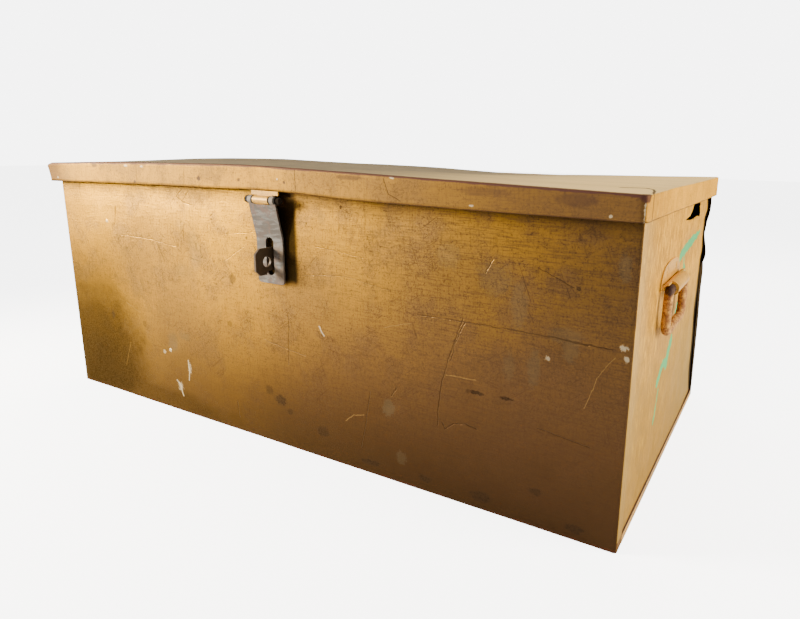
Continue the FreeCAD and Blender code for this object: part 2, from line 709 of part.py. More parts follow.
def staple_rivet_places():
    """Inner faces of the staple's rivets, on the inside of its foot."""
    y = -size("body_depth") / 2 + size("gauge") + size("foot_gauge")
    return [Vector(x, y, height) for x, height in STAPLE_RIVETS]


# ---- end handles ----

def hood_half(side, outer, start, length):
    """The quarter of a tube from the end panel over the top of the bail, along Y."""
    x = f"{side} * (body_length / 2 - gauge + handle_axis_out)"
    whole = rod("cover_tube", (x, start, "handle_axis_height"), outer, length, ACROSS_Y)
    low = f"{start} - 1"
    beyond = f"{length} + 2"
    room_place = (x, low, "handle_axis_height")
    inner = rod("cover_room", room_place, "bail_radius + bail_room", beyond, ACROSS_Y)
    low_x = x if side > 0 else f"{x} - 2 * hood_barrel_radius"
    wide = "2 * hood_barrel_radius"
    front_low = (low_x, low, "handle_axis_height - hood_barrel_radius")
    front = box("cover_front", front_low, (wide, beyond, f"2 * {wide}"))
    under_x = f"{x} - {wide}"
    under_low = (under_x, low, f"handle_axis_height - {wide}")
    under = box("cover_under", under_low, (f"2 * {wide}", beyond, wide))
    return cut("cover", whole, [inner, front, under])


def handle_hood(hand, side):
    """An arched plate with a barrel that holds the bail's stubs and a cover over its bends."""
    face = f"{side} * (body_length / 2 - gauge + hood_plate / 2)"
    steps = 6
    corners = [
        ("handle_centre + hood_half_width", "hood_low"),
        ("handle_centre - hood_half_width", "hood_low"),
    ]
    for i in range(2 * steps + 1):
        across = i / steps - 1
        rise = round(math.sqrt(max(0.0, 1 - abs(across) ** size("hood_roundness"))), 4)
        up = f"hood_shoulder + (hood_high - hood_shoulder) * {rise}"
        corners.append((f"handle_centre + hood_half_width * {across:.4f}", up))
    body = doc.addObject("PartDesign::Body", f"hood_{hand}_sheet")
    corners.reverse()
    pad(body, outline(body, f"hood_{hand}_plan", "YZ_Plane", corners, face), "hood_plate", both_ways=True)
    x = f"{side} * (body_length / 2 - gauge + handle_axis_out)"
    half = "hood_barrel_half"
    barrel_place = (x, f"handle_centre - {half}", "handle_axis_height")
    barrel = rod("barrel", barrel_place, "hood_barrel_radius", f"2 * {half}", ACROSS_Y)
    start = (x, f"handle_centre - {half} - 1", "handle_axis_height")
    bore = rod("barrel_bore", start, "bail_radius + running_gap", f"2 * {half} + 2", ACROSS_Y)
    cover = hood_half(side, "hood_barrel_radius", "handle_centre - hood_cover_half", "2 * hood_cover_half")
    joined = fuse(f"hood_{hand}_fused", [body, barrel, cover])
    # Anything of the barrel that would sink into the end panel is cut back flush with it.
    low_x = "body_length / 2 - gauge - 10" if side > 0 else "-body_length / 2 + gauge"
    behind_low = (low_x, "handle_centre - 100", "handle_axis_height - 50")
    behind = box("behind_panel", behind_low, ("10", "200", "100"))
    drills = rivet_holes(f"hood_{hand}_drills", handle_rivet_places(side), Vector(side, 0, 0))
    node(f"handle_{hand}_hood", cut(f"hood_{hand}_cut", joined, [bore, behind, drills]))


def handle_rivet_places(side):
    """Inner faces of a handle's rivets, on the inside of its backing plate."""
    x = side * (size("body_length") / 2 - 2 * size("gauge") - size("backing_gauge"))
    return [Vector(x, size("handle_centre") + dy, height) for dy, height in END_RIVETS]


def handle(hand, side):
    handle_hood(hand, side)
    low_x = "body_length / 2 - 2 * gauge - backing_gauge" if side > 0 else "-body_length / 2 + 2 * gauge"
    low = (low_x, "handle_centre - hood_half_width", "hood_low")
    span = ("backing_gauge", "2 * hood_half_width", "backing_high - hood_low")
    drills = rivet_holes(f"backing_{hand}_drills", handle_rivet_places(side), Vector(side, 0, 0))
    node(f"handle_{hand}_backing", cut(f"backing_{hand}", box("backing_plate", low, span), [drills]))
    grip = size("backing_gauge") + size("gauge") + size("hood_plate")
    rivet_group(f"handle_{hand}_rivets", handle_rivet_places(side), grip, Vector(side, 0, 0))
    drop_handle(
        f"handle_{hand}_bail",
        side * (size("body_length") / 2 - size("gauge") + size("handle_axis_out")),
        size("handle_axis_height"),
        size("handle_centre"),
        size("bail_half_width"),
        size("bail_drop"),
        size("bail_bend"),
        size("bail_radius"),
        size("bail_end"),
    )


# ---- tray ----

def tray_rail(hand, side):
    """An angle on the end panel with its shelf turned inward."""
    wall = "(body_length / 2 - 2 * gauge)"
    run = "body_depth - 2 * gauge - 2 * rail_end_gap"
    front = "-body_depth / 2 + gauge + rail_end_gap"
    leg_x = f"{wall} - rail_gauge" if side > 0 else f"-{wall}"
    leg = box("rail_leg", (leg_x, front, "rail_top - rail_drop"), ("rail_gauge", run, "rail_drop"))
    shelf_x = f"{wall} - rail_shelf" if side > 0 else f"-{wall}"
    shelf = box("rail_shelf", (shelf_x, front, "rail_top - rail_gauge"), ("rail_shelf", run, "rail_gauge"))
    node(f"tray_rail_{hand}", fuse(f"rail_{hand}", [leg, shelf]))


def tray_pan():
    """An open pan with a rolled rim."""
    half = "tray_half_length"
    back = "tray_front + tray_depth"
    corners = [(f"-{half}", "tray_front"), (half, "tray_front"), (half, back), (f"-{half}", back)]
    body = doc.addObject("PartDesign::Body", "tray_sheet")
    block = pad(body, outline(body, "tray_plan", "XY_Plane", corners, "tray_base"), "tray_height")
    rounded = fillet(body, block, lambda edge: along(edge, Vector(0, 0, 1)), "tray_corner")
    base = size("tray_base")
    folded = fillet(body, rounded, lambda edge: abs(edge.BoundBox.ZMax - base) < 0.01, "2 * tray_gauge")
    hollow(body, folded, Vector(0, 0, 1), base + size("tray_height"), "tray_gauge")
    low = (f"-{half} - tray_lip", "tray_front - tray_lip", "tray_base + tray_height - tray_lip_height")
    span = (f"2 * {half} + 2 * tray_lip", "tray_depth + 2 * tray_lip", "tray_lip_height")
    rim_low = "tray_base + tray_height - 2 * tray_lip_height"
    inner_low = (f"-{half} + tray_gauge", "tray_front + tray_gauge", rim_low)
    inner_span = (f"2 * {half} - 2 * tray_gauge", "tray_depth - 2 * tray_gauge", "3 * tray_lip_height")
    rim = cut("tray_rim", box("rim_outer", low, span), [box("rim_inner", inner_low, inner_span)])
    node("tray_pan", fuse("tray_fused", [body, rim]))


def tray_divider(hand, side):
    """A cross plate with its foot turned along the tray's floor."""
    x = f"{side} * divider_offset - tray_gauge / 2"
    front = "tray_front + tray_gauge + 0.2"
    run = "tray_depth - 2 * tray_gauge - 0.4"
    floor = "tray_base + tray_gauge"
    # The plate's lower corners clear the rounded fold between the tray's wall and floor.
    plate_low = (x, front, f"{floor} + tray_gauge")
    plate = box("divider_plate", plate_low, ("tray_gauge", run, "divider_height - tray_gauge"))
    foot_run = f"{run} - 4 * tray_gauge"
    foot_low = (x, f"{front} + 2 * tray_gauge", floor)
    foot = box("divider_foot", foot_low, ("divider_flange", foot_run, "tray_gauge"))
    node(f"tray_divider_{hand}", fuse(f"divider_{hand}", [plate, foot]))


def grip_axis_x(side):
    """The grip's pivot, half a clip inside the tray's end wall."""
    return f"{side} * (tray_half_length - tray_gauge - clip_block / 2)"


def tray_clips(hand, side):
    """Two bored blocks on the tray's end wall."""
    x = grip_axis_x(side)
    centre = "(tray_front + tray_depth / 2)"
    blocks = []
    for end in (-1, 1):
        middle = f"{centre} + {end} * (grip_half_width - grip_bend - clip_length / 2 - 0.5)"
        low = (f"{x} - clip_block / 2", f"{middle} - clip_length / 2", "clip_height - clip_block / 2")
        block = box("clip_block", low, ("clip_block", "clip_length", "clip_block"))
        start = (x, f"{middle} - clip_length", "clip_height")
        bore = rod("clip_bore", start, "grip_radius + running_gap", "2 * clip_length", ACROSS_Y)
        blocks.append(cut("clip", block, [bore]))
    pair = doc.addObject("Part::Compound", f"clips_{hand}")
    pair.Links = blocks
    node(f"tray_clips_{hand}", pair)


def tray_grip(hand, side):
    drop_handle(
        f"tray_grip_{hand}",
        side * (size("tray_half_length") - size("tray_gauge") - size("clip_block") / 2),
        size("clip_height"),
        size("tray_front") + size("tray_depth") / 2,
        size("grip_half_width"),
        size("grip_drop"),
        size("grip_bend"),
        size("grip_radius"),
        size("grip_end"),
    )


# ---- the whole chest ----

def build():
    fill_sheet()
    front_panel()
    back_panel()
    base_pan()
    lid_pan()
    hinge_rivets()
    hasp_fixed_leaf()
    hasp_pin()
    hasp_strap()
    staple()
    tray_pan()
    for hand, side in (("left", -1), ("right", 1)):
        end_panel(hand, side)
        hinge(hand, side)
        handle(hand, side)
        tray_rail(hand, side)
        tray_divider(hand, side)
        tray_clips(hand, side)
        tray_grip(hand, side)
    doc.recompute()


def export():
    """Stop on any failed object or bad shape, then write one file for each sub-part."""
    for item in doc.Objects:
        if {"Invalid", "Error"} & set(item.State):
            raise RuntimeError(f"{item.Label} failed: {item.State}")
    for label, item in nodes.items():
        if item.Shape.isNull() or not item.Shape.isValid() or not item.Shape.Solids:
            raise RuntimeError(f"{label} has no valid solid")
    os.makedirs("parts", exist_ok=True)
    for label, item in nodes.items():
        item.Shape.exportStep(f"parts/{label}.step")


build()
export()
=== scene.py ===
import math

import bmesh
import bpy
import numpy as np
from mathutils import Matrix, Vector


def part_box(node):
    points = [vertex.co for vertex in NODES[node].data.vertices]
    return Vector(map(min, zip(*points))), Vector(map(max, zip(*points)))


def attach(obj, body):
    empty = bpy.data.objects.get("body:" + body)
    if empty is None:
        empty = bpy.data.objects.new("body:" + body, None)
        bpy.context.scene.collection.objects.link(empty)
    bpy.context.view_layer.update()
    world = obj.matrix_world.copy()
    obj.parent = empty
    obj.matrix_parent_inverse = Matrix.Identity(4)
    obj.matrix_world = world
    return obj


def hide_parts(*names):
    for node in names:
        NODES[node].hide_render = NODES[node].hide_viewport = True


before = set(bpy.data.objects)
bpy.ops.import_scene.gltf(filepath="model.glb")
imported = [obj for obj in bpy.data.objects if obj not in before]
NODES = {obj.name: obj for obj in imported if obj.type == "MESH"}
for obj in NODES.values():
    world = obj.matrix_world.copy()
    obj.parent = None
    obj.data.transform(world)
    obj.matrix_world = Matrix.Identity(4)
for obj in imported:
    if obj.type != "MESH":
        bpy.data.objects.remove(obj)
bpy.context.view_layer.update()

# An old sheet-steel tool chest. Everything is in metres, in the frame's own axes: X along the chest,
# Y from its front to its hinged back, Z up. Lengths below that are easier to read in millimetres are
# given in millimetres and multiplied by MM.

MM = 0.001


def ends(node, axis):
    """A CAD node's lowest and highest coordinate along one axis."""
    low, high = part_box(node)
    return low[axis], high[axis]


BODY_LEFT, BODY_RIGHT = ends("front_panel", 0)
FRONT = ends("front_panel", 1)[0]
BACK = ends("back_panel", 1)[1]
RIM = ends("front_panel", 2)[1]
FRONT_RETURN = ends("front_panel", 1)[1] - FRONT
BACK_RETURN = BACK - ends("back_panel", 1)[0]
END_FACE = ends("end_panel_right", 0)[1]
END_LOW = ends("end_panel_right", 2)[0]
END_HALF = ends("end_panel_right", 1)[1]
LID_LOW, LID_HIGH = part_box("lid_pan")
GAUGE = 1.2 * MM
FOLD = 3.0 * MM


# ---------------------------------------------------------------- numbers

def curve_through(x, knots):
    """A smooth curve (Catmull-Rom) through a short list of (place, value) knots, flat beyond its ends."""
    at = np.array([k[0] for k in knots], float)
    value = np.array([k[1] for k in knots], float)
    slope = np.gradient(value, at)
    x = np.clip(x, at[0], at[-1])
    i = np.clip(np.searchsorted(at, x) - 1, 0, len(at) - 2)
    span = at[i + 1] - at[i]
    t = (x - at[i]) / span
    a = (1 + 2 * t) * (1 - t) ** 2 * value[i] + t * (1 - t) ** 2 * span * slope[i]
    b = t * t * (3 - 2 * t) * value[i + 1] + t * t * (t - 1) * span * slope[i + 1]
    return a + b


def step(x, low, high):
    """0 below low, 1 above high, smooth between. low may be the larger one."""
    t = np.clip((x - low) / (high - low), 0, 1)
    return t * t * (3 - 2 * t)


def ripples(seed, count, longest, shortest):
    """A fixed random height field over two coordinates, between about -1 and 1."""
    source = np.random.default_rng(seed)
    length = np.exp(source.uniform(math.log(shortest), math.log(longest), count))
    turn = source.uniform(0, 2 * math.pi, count)
    phase = source.uniform(0, 2 * math.pi, count)
    share = length / length.sum()

    def field(u, v):
        total = np.zeros(np.broadcast(u, v).shape)
        for k in range(count):
            along = u * math.cos(turn[k]) + v * math.sin(turn[k])
            total += share[k] * np.sin(2 * math.pi * along / length[k] + phase[k])
        return total * 1.8

    return field


def dent(u, v, centre, radius, depth):
    """A smooth hollow in a height field."""
    gap = np.hypot(u - centre[0], v - centre[1]) / radius
    return -depth * np.exp(-gap * gap * 2)


# ---------------------------------------------------------------- meshes

def link(name, data):
    """A new object in the scene."""
    item = bpy.data.objects.new(name, data)
    bpy.context.scene.collection.objects.link(item)
    return item


def solid_mesh(name, vertices, faces, weld=False):
    """A mesh with its normals made to point outward. weld joins vertices that share a place."""
    mesh = bpy.data.meshes.new(name)
    mesh.from_pydata([tuple(v) for v in vertices], [], faces)
    work = bmesh.new()
    work.from_mesh(mesh)
    if weld:
        bmesh.ops.remove_doubles(work, verts=work.verts, dist=1e-6)
    bmesh.ops.recalc_face_normals(work, faces=work.faces)
    work.to_mesh(mesh)
    work.free()
    return mesh


def new_object(name, vertices, faces, body, materials):
    """A mesh piece that rides on a body."""
    mesh = solid_mesh(name, vertices, faces, weld=True)
    for material in materials:
        mesh.materials.append(material)
    mesh.polygons.foreach_set("use_smooth", [True] * len(mesh.polygons))
    piece = link(name, mesh)
    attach(piece, body)
    return piece


def grid_faces(rows, columns, first=0, closed=False):
    """Quads over a grid of vertices stored row by row."""
    faces = []
    last = columns if closed else columns - 1
    for r in range(rows - 1):
        for c in range(last):
            a = first + r * columns + c
            b = first + r * columns + (c + 1) % columns
            faces.append((a, b, b + columns, a + columns))
    return faces


def shell(outer, inner):
    """Vertices and faces of a closed sheet between two grids, each (rows, columns, 3)."""
    rows, columns = outer.shape[:2]
    count = rows * columns
    vertices = np.concatenate([outer.reshape(-1, 3), inner.reshape(-1, 3)])
    faces = grid_faces(rows, columns)
    faces += [tuple(reversed(f)) for f in grid_faces(rows, columns, count)]
    rim = [c for c in range(columns)]
    rim += [r * columns + columns - 1 for r in range(1, rows)]
    rim += [(rows - 1) * columns + c for c in range(columns - 2, -1, -1)]
    rim += [r * columns for r in range(rows - 2, 0, -1)]
    for a, b in zip(rim, rim[1:] + rim[:1]):
        faces.append((b, a, a + count, b + count))
    return vertices, faces


def spread(low, high, pitch):
    """Evenly spaced values from low to high, about a pitch apart."""
    return np.linspace(low, high, max(2, int(round((high - low) / pitch)) + 1))


def paint_inside(piece, facing, limit=0.0):
    """Give the last material to every face that looks inward: facing(centre, normal) below a limit."""
    inside = len(piece.data.materials) - 1
    for polygon in piece.data.polygons:
        if facing(polygon.center, polygon.normal) < limit:
            polygon.material_index = inside


# ---------------------------------------------------------------- shader graphs

class Graph:
    """Short names for the shader nodes of one material or node group."""

    def __init__(self, tree):
        self.tree = tree

    def add(self, kind, inputs=(), **settings):
        item = self.tree.nodes.new(kind)
        for name, value in settings.items():
            setattr(item, name, value)
        pairs = inputs.items() if isinstance(inputs, dict) else enumerate(inputs)
        for name, value in pairs:
            if isinstance(value, bpy.types.NodeSocket):
                self.tree.links.new(value, item.inputs[name])
            elif value is not None:
                item.inputs[name].default_value = value
        return item

    def place(self):
        """Where each point is in the frame, because every node's own origin is the frame's."""
        return self.add("ShaderNodeTexCoord").outputs["Object"]

    def math(self, operation, a, b=None, c=None):
        return self.add("ShaderNodeMath", (a, b, c), operation=operation).outputs[0]

    def scaled(self, value, by, plus):
        """value * by + plus"""
        return self.math("MULTIPLY_ADD", value, by, plus)

    def vector(self, operation, a, b=None):
        item = self.add("ShaderNodeVectorMath", (a, b), operation=operation)
        scalar = operation in ("LENGTH", "DOT_PRODUCT", "DISTANCE")
        return item.outputs["Value" if scalar else "Vector"]

    def fade(self, value, low, high, to_low=0.0, to_high=1.0):
        """Smooth step from to_low at low to to_high at high."""
        inputs = (value, low, high, to_low, to_high)
        return self.add("ShaderNodeMapRange", inputs, interpolation_type="SMOOTHSTEP").outputs[0]

    def noise(self, place, scale, detail=3.0, rough=0.55, stretch=None, turn=None):
        """Noise, optionally stretched and turned. scale is in cycles per metre."""
        if stretch is not None or turn is not None:
            inputs = {"Vector": place, "Scale": stretch or (1, 1, 1), "Rotation": turn or (0, 0, 0)}
            place = self.add("ShaderNodeMapping", inputs, vector_type="TEXTURE").outputs[0]
        inputs = {"Vector": place, "Scale": scale, "Detail": detail, "Roughness": rough}
        return self.add("ShaderNodeTexNoise", inputs).outputs["Fac"]

    def mix(self, share, a, b):
        item = self.add("ShaderNodeMix", data_type="RGBA")
        for socket, value in ((0, share), (6, a), (7, b)):
            if isinstance(value, bpy.types.NodeSocket):
                self.tree.links.new(value, item.inputs[socket])
            else:
                item.inputs[socket].default_value = value
        return item.outputs[2]

    def multiply(self, a, b):
        return self.math("MULTIPLY", a, b)

    def over(self, tone, mask, strength, colour):
        """A colour laid over a tone where a mask is, up to a strength."""
        return self.mix(self.multiply(mask, strength), tone, colour)

    def either(self, masks):
        """The largest of several masks."""
        total = masks[0]
        for mask in masks[1:]:
            total = self.math("MAXIMUM", total, mask)
        return total


def rgb(red, green, blue):
    return (red, green, blue, 1.0)


def stroke_group():
    """A straight stroke, 1 on it and 0 beyond its half width, added to the strokes before it."""
    tree = bpy.data.node_groups.new("stroke", "ShaderNodeTree")
    for name in ("Place", "Start", "End"):
        tree.interface.new_socket(name, in_out="INPUT", socket_type="NodeSocketVector")
    for name in ("Half", "Before"):
        tree.interface.new_socket(name, in_out="INPUT", socket_type="NodeSocketFloat")
    tree.interface.new_socket("Mask", in_out="OUTPUT", socket_type="NodeSocketFloat")
    g = Graph(tree)
    source = g.add("NodeGroupInput").outputs
    run = g.vector("SUBTRACT", source["End"], source["Start"])
    away = g.vector("SUBTRACT", source["Place"], source["Start"])
    share = g.math("DIVIDE", g.vector("DOT_PRODUCT", away, run), g.vector("DOT_PRODUCT", run, run))
    share = g.add("ShaderNodeClamp", (share, 0.0, 1.0)).outputs[0]
    along = g.add("ShaderNodeVectorMath", {"Vector": run, "Scale": share}, operation="SCALE").outputs[0]
    gap = g.vector("LENGTH", g.vector("SUBTRACT", away, along))
    near = g.fade(g.math("DIVIDE", gap, source["Half"]), 0.35, 1.0, 1.0, 0.0)
    g.add("NodeGroupOutput", {"Mask": g.math("MAXIMUM", near, source["Before"])})
    return tree


STROKE = stroke_group()


def strokes(g, place, lines, plane):
    """Mask of several strokes. Each is (half width in mm, corners in mm on the plane's two axes)."""
    mask = None
    for half, corners in lines:
        for a, b in zip(corners, corners[1:]):
            item = g.add("ShaderNodeGroup", node_tree=STROKE)
            g.tree.links.new(place, item.inputs["Place"])
            item.inputs["Start"].default_value = on_plane(a, plane)
            item.inputs["End"].default_value = on_plane(b, plane)
            item.inputs["Half"].default_value = half * MM
            if mask is not None:
                g.tree.links.new(mask, item.inputs["Before"])
            mask = item.outputs["Mask"]
    return mask if mask is not None else 0.0


def nearby(marks, low, high):
    """The strokes or spots of a list that reach into a band of the panel, from low to high in mm."""
    kept = []
    for mark in marks:
        if len(mark) == 3:
            (at, _), (reach, _), _ = mark
            span = (at - 1.4 * reach, at + 1.4 * reach)
            if span[0] < high and span[1] > low:
                kept.append(mark)
            continue
        half, corners = mark
        for a, b in zip(corners, corners[1:]):
            if min(a[0], b[0]) - half - 4 < high and max(a[0], b[0]) + half + 4 > low:
                kept.append((half, [a, b]))
    return kept


def on_plane(point, plane):
    """A point in mm on the XZ, YZ or XY plane, in metres."""
    u, v = point[0] * MM, point[1] * MM
    return {"XZ": (u, 0, v), "YZ": (0, u, v), "XY": (u, v, 0)}[plane]


def flatten(g, place, plane):
    """The place with the coordinate across a plane dropped."""
    return g.vector("MULTIPLY", place, {"XZ": (1, 0, 1), "YZ": (0, 1, 1), "XY": (1, 1, 0)}[plane])


def blobs(g, place, spots, plane, rag):
    """Mask of several soft spots. Each is (centre, radii in mm, strength); rag is noise that frays them."""
    mask = None
    for centre, radii, strength in spots:
        away = g.vector("SUBTRACT", place, on_plane(centre, plane))
        size = on_plane(radii, plane)
        scale = tuple(1 / s if s else 0 for s in size)
        gap = g.math("ADD", g.vector("LENGTH", g.vector("MULTIPLY", away, scale)), rag)
        spot = g.fade(gap, 0.45, 1.0, strength, 0.0)
        mask = spot if mask is None else g.math("MAXIMUM", mask, spot)
    return mask if mask is not None else 0.0


def new_material(name):
    """An empty material and its graph."""
    material = bpy.data.materials.new(name)
    material.use_nodes = True
    tree = material.node_tree
    tree.nodes.clear()
    return material, Graph(tree)


BUMP_STRENGTH = 0.6


def finish_material(g, colour, roughness, height, metallic=0.0, depth=0.4 * MM, **constants):
    """One principled surface. Numbers that are the same all over go straight onto its sockets."""
    inputs = {"Base Color": colour, "Roughness": roughness, "Metallic": metallic}
    inputs.update({name.replace("_", " "): value for name, value in constants.items()})
    bump = g.add("ShaderNodeBump", {"Strength": BUMP_STRENGTH, "Distance": depth, "Height": height})
    inputs["Normal"] = bump.outputs[0]
    surface = g.add("ShaderNodeBsdfPrincipled", inputs)
    g.add("ShaderNodeOutputMaterial", {"Surface": surface.outputs[0]})


# ---------------------------------------------------------------- the marks of use

# Strokes and spots in mm. A stroke is (half width, corners) and a spot is (centre, radii, strength). On the
# front and on the lid's front flange they are at (X, Z), on the ends at (Y, Z), on the lid's top at (X, Y).
FRONT_SCRATCHES = [
    (0.9, [(230, 183), (216, 144), (209, 119), (205, 91), (205, 74)]),
    (0.7, [(232, 180), (222, 158), (218, 141)]), (0.8, [(181, 179), (230, 180), (305, 180), (365, 178)]),
    (0.9, [(308, 180), (345, 178)]), (1.0, [(210, 78), (213, 72), (222, 79)]),
    (0.7, [(222, 79), (235, 82)]), (1.1, [(235, 82), (246, 80)]),
    (0.6, [(-260, 217), (-202, 216), (-155, 211)]), (0.6, [(-141, 239), (-143, 219)]),
    (0.6, [(-71, 234), (-28, 239)]), (0.6, [(-77, 202), (-43, 222)]), (0.7, [(-267, 252), (-272, 229)]),
    (0.8, [(-140, 278), (-150, 270), (-138, 264), (-123, 262)]), (0.7, [(-128, 277), (-140, 266)]),
    (0.6, [(18, 155), (15, 97)]), (0.7, [(-69, 36), (-67, 16)]), (0.6, [(125, 90), (119, 55), (113, 26)]),
    (0.8, [(251, 227), (257, 239)]), (1.0, [(157, 101), (151, 91)]), (0.6, [(300, 236), (330, 224)]),
    (0.6, [(60, 232), (118, 226)]), (0.5, [(40, 200), (95, 206), (150, 198)]),
    (0.5, [(-20, 120), (40, 112)]), (0.5, [(305, 96), (352, 90)]),
]
FRONT_BRIGHT = [
    (0.7, [(213, 126), (244, 127)]), (0.6, [(144, 161), (175, 170)]),
    (0.5, [(345, 124), (354, 152), (367, 172)]), (0.8, [(-264, 128), (-239, 119)]),
    (0.5, [(-265, 75), (-281, 40)]), (0.7, [(93, 51), (104, 60), (117, 63)]),
    (0.5, [(-190, 150), (-150, 146)]),
]
FRONT_WHITE_STROKES = [
    (1.3, [(-152, 71), (-151, 58), (-153, 45)]), (1.2, [(61, 148), (67, 139)]),
    (1.7, [(-176, 40), (-170, 34), (-167, 21)]),
]
FRONT_WHITE_SPOTS = [
    ((-185, 78), (2.16, 2.16), 1.0), ((-171, 33), (4.4, 5.0), 0.6), ((373, 181), (3.0, 2.4), 0.7),
    ((376, 172), (2.0, 3.0), 0.7), ((311, 161), (2.0, 2.0), 0.5), ((-150, 60), (3.0, 7.0), 0.5),
    ((-288, 232), (2.16, 2.16), 0.8), ((-196, 74), (2.16, 2.16), 0.6),
]
FRONT_DARK_SPOTS = [
    ((236, 115), (2.55, 2.55), 0.6), ((245, 115), (7.65, 2.21), 1.0), ((275, 116), (6.8, 2.04), 1.0),
    ((334, 223), (1.87, 1.87), 1.0), ((-297, 108), (3.4, 6.8), 0.9), ((-232, 105), (3.4, 5.1), 0.6),
    ((-74, 130), (4.25, 3.4), 0.6), ((2, 53), (9.35, 5.95), 0.9), ((-15, 62), (5.95, 5.1), 0.6),
    ((62, 30), (7.65, 5.95), 0.7), ((15, 42), (4.25, 3.4), 0.7), ((124, 12), (13.6, 3.4), 0.8),
    ((191, 13), (7.65, 4.25), 0.8), ((253, 13), (11, 5.1), 0.8), ((306, 35), (7.65, 3.4), 0.7),
    ((344, 11), (10.2, 4.25), 0.8), ((-38, 232), (1.7, 1.7), 0.9), ((93, 273), (1.7, 1.7), 1.0),
    ((-64, 184), (5.1, 5.95), 0.8),
]
FRONT_GREY_SPOTS = [
    ((-126, 210), (11, 26), 0.6), ((-149, 183), (17, 10), 0.5), ((-148, 238), (9, 6), 0.6),
    ((-189, 278), (6, 6), 0.7), ((69, 262), (5, 7), 0.5), ((213, 238), (13, 12), 0.55),
    ((259, 222), (18, 15), 0.5), ((283, 202), (8, 20), 0.55), ((326, 183), (14, 7), 0.5),
    ((330, 172), (7, 13), 0.6), ((276, 146), (6, 13), 0.4), ((299, 149), (6, 17), 0.55),
    ((369, 243), (5, 13), 0.6), ((-180, 91), (10, 13), 0.7), ((-156, 101), (12, 5), 0.6),
    ((147, 78), (7, 9), 0.8), ((163, 28), (6, 7), 0.5), ((-258, 196), (12, 8), 0.3),
]
# Soot on the lower left of the front.
SOOT = [
    ((-330, 60), (110, 88), 0.92), ((-322, 92), (56, 32), 0.70), ((-290, 28), (75, 34), 0.66),
    ((-215, 6), (150, 26), 0.60),
]
# Where, along X, the painted shadow of the hasp's strap and the oil staining beside it end.
STRAP_SHADOW_AND_STAIN_EDGE = 40
END_GREEN_STROKES = [
    (4.0, [(106, 241), (92, 239)]), (8.0, [(88, 238), (64, 235)]),
    (10.0, [(62, 235), (32, 231), (12, 230)]), (9.0, [(10, 231), (-8, 228), (-14, 226)]),
    (5.5, [(16, 228), (24, 214), (34, 207), (40, 201)]), (7.0, [(-6, 206), (12, 207)]),
    (4.5, [(44, 192), (50, 178), (52, 168)]), (5.0, [(-4, 174), (-10, 166)]),
    (11.0, [(-22, 139), (-34, 130), (-40, 120)]), (8.0, [(-44, 122), (-58, 124), (-68, 118), (-78, 110)]),
    (3.4, [(-70, 100), (-76, 84), (-82, 70)]),
]
END_GRIME = [
    ((-60, 176), (70, 60), 0.35), ((40, 232), (60, 26), 0.3),
]
LID_SEAMS = [
    (0.6, [(44, 307), (44, 287)]), (0.5, [(-205, 306), (-206, 282)]), (0.5, [(-121, 299), (-122, 287)]),
    (0.6, [(150, 303), (156, 289), (168, 284)]),
]
LID_TOP_CUTS = [
    (4.0, [(349, -152), (366, -140)]), (2.4, [(366, -140), (374, -150)]),
    (1.6, [(374, -150), (379, -170), (382.5, -192)]),
]
LID_SPOTS = [
    ((-225, 303), (4.7, 1.6), 0.72), ((-195, 303), (3.7, 1.6), 0.64), ((159, 304), (3.7, 1.8), 0.8),
    ((20, 297), (1.6, 1.3), 0.72), ((240, 284), (2.6, 1.3), 0.56), ((357, 283), (1.6, 1.6), 0.56),
    ((-372, 284), (2.6, 1.6), 0.48),
]
LID_DARK_SPOTS = [
    ((-97, 293), (4, 3.5), 0.9), ((-35, 294), (3, 2.5), 0.8), ((29, 294), (2.4, 2.2), 0.9),
    ((-288, 302), (9, 4), 0.7), ((-210, 285), (3, 3), 0.9), ((110, 302), (22, 3), 0.6),
    ((250, 296), (30, 5), 0.4), ((330, 294), (22, 7), 0.5),
]


# ---------------------------------------------------------------- paints and metals

GOLD_LIGHT = rgb(0.61, 0.292, 0.012)
GOLD_DEEP = rgb(0.235, 0.126, 0.044)
GOLD_PALE = rgb(0.70, 0.335, 0.018)
PALE_DEEP = rgb(0.46, 0.215, 0.018)
GRIME = rgb(0.045, 0.024, 0.009)
BROWNED = rgb(0.051, 0.027, 0.016)
RUST = rgb(0.080, 0.026, 0.012)
PURPLE_WEAR = rgb(0.060, 0.024, 0.022)
CHALK = rgb(0.52, 0.43, 0.28)
SMUDGE = rgb(0.085, 0.066, 0.038)
MINT = rgb(0.022, 0.34, 0.12)
WARM = rgb(1.0, 0.74, 0.28)


def paint_grain(g, place):
    """Brush streaks, pores, short curls and fine random scratches that every painted face shares."""
    streak = g.noise(place, 760.0, 3.0, 0.62, stretch=(16, 16, 1))
    cross = g.noise(place, 640.0, 2.0, 0.6, stretch=(1, 1, 12))
    pores = g.noise(place, 560.0, 3.0, 0.78)
    patches = g.noise(place, 26.0, 4.0, 0.62)
    broad = g.noise(place, 4.2, 2.0, 0.5)
    curls = g.noise(place, 88.0, 2.5, 0.55)
    hair = [g.fade(g.math("ABSOLUTE", g.math("SUBTRACT", curls, 0.5)), 0.0140, 0.0, 0.0, 0.85)]
    for turn, scale in ((0.18, 190.0), (1.22, 150.0), (2.35, 170.0)):
        line = g.noise(place, scale, 1.0, 0.4, stretch=(16, 16, 0.42), turn=(0, turn, turn * 0.3))
        hair.append(g.fade(g.math("ABSOLUTE", g.math("SUBTRACT", line, 0.5)), 0.010, 0.0, 0.0, 1.0))
    keep = g.fade(patches, 0.43, 0.56)
    hairs = g.multiply(g.either(hair), keep)
    return dict(streak=streak, cross=cross, pores=pores, patches=patches, broad=broad, hairs=hairs)


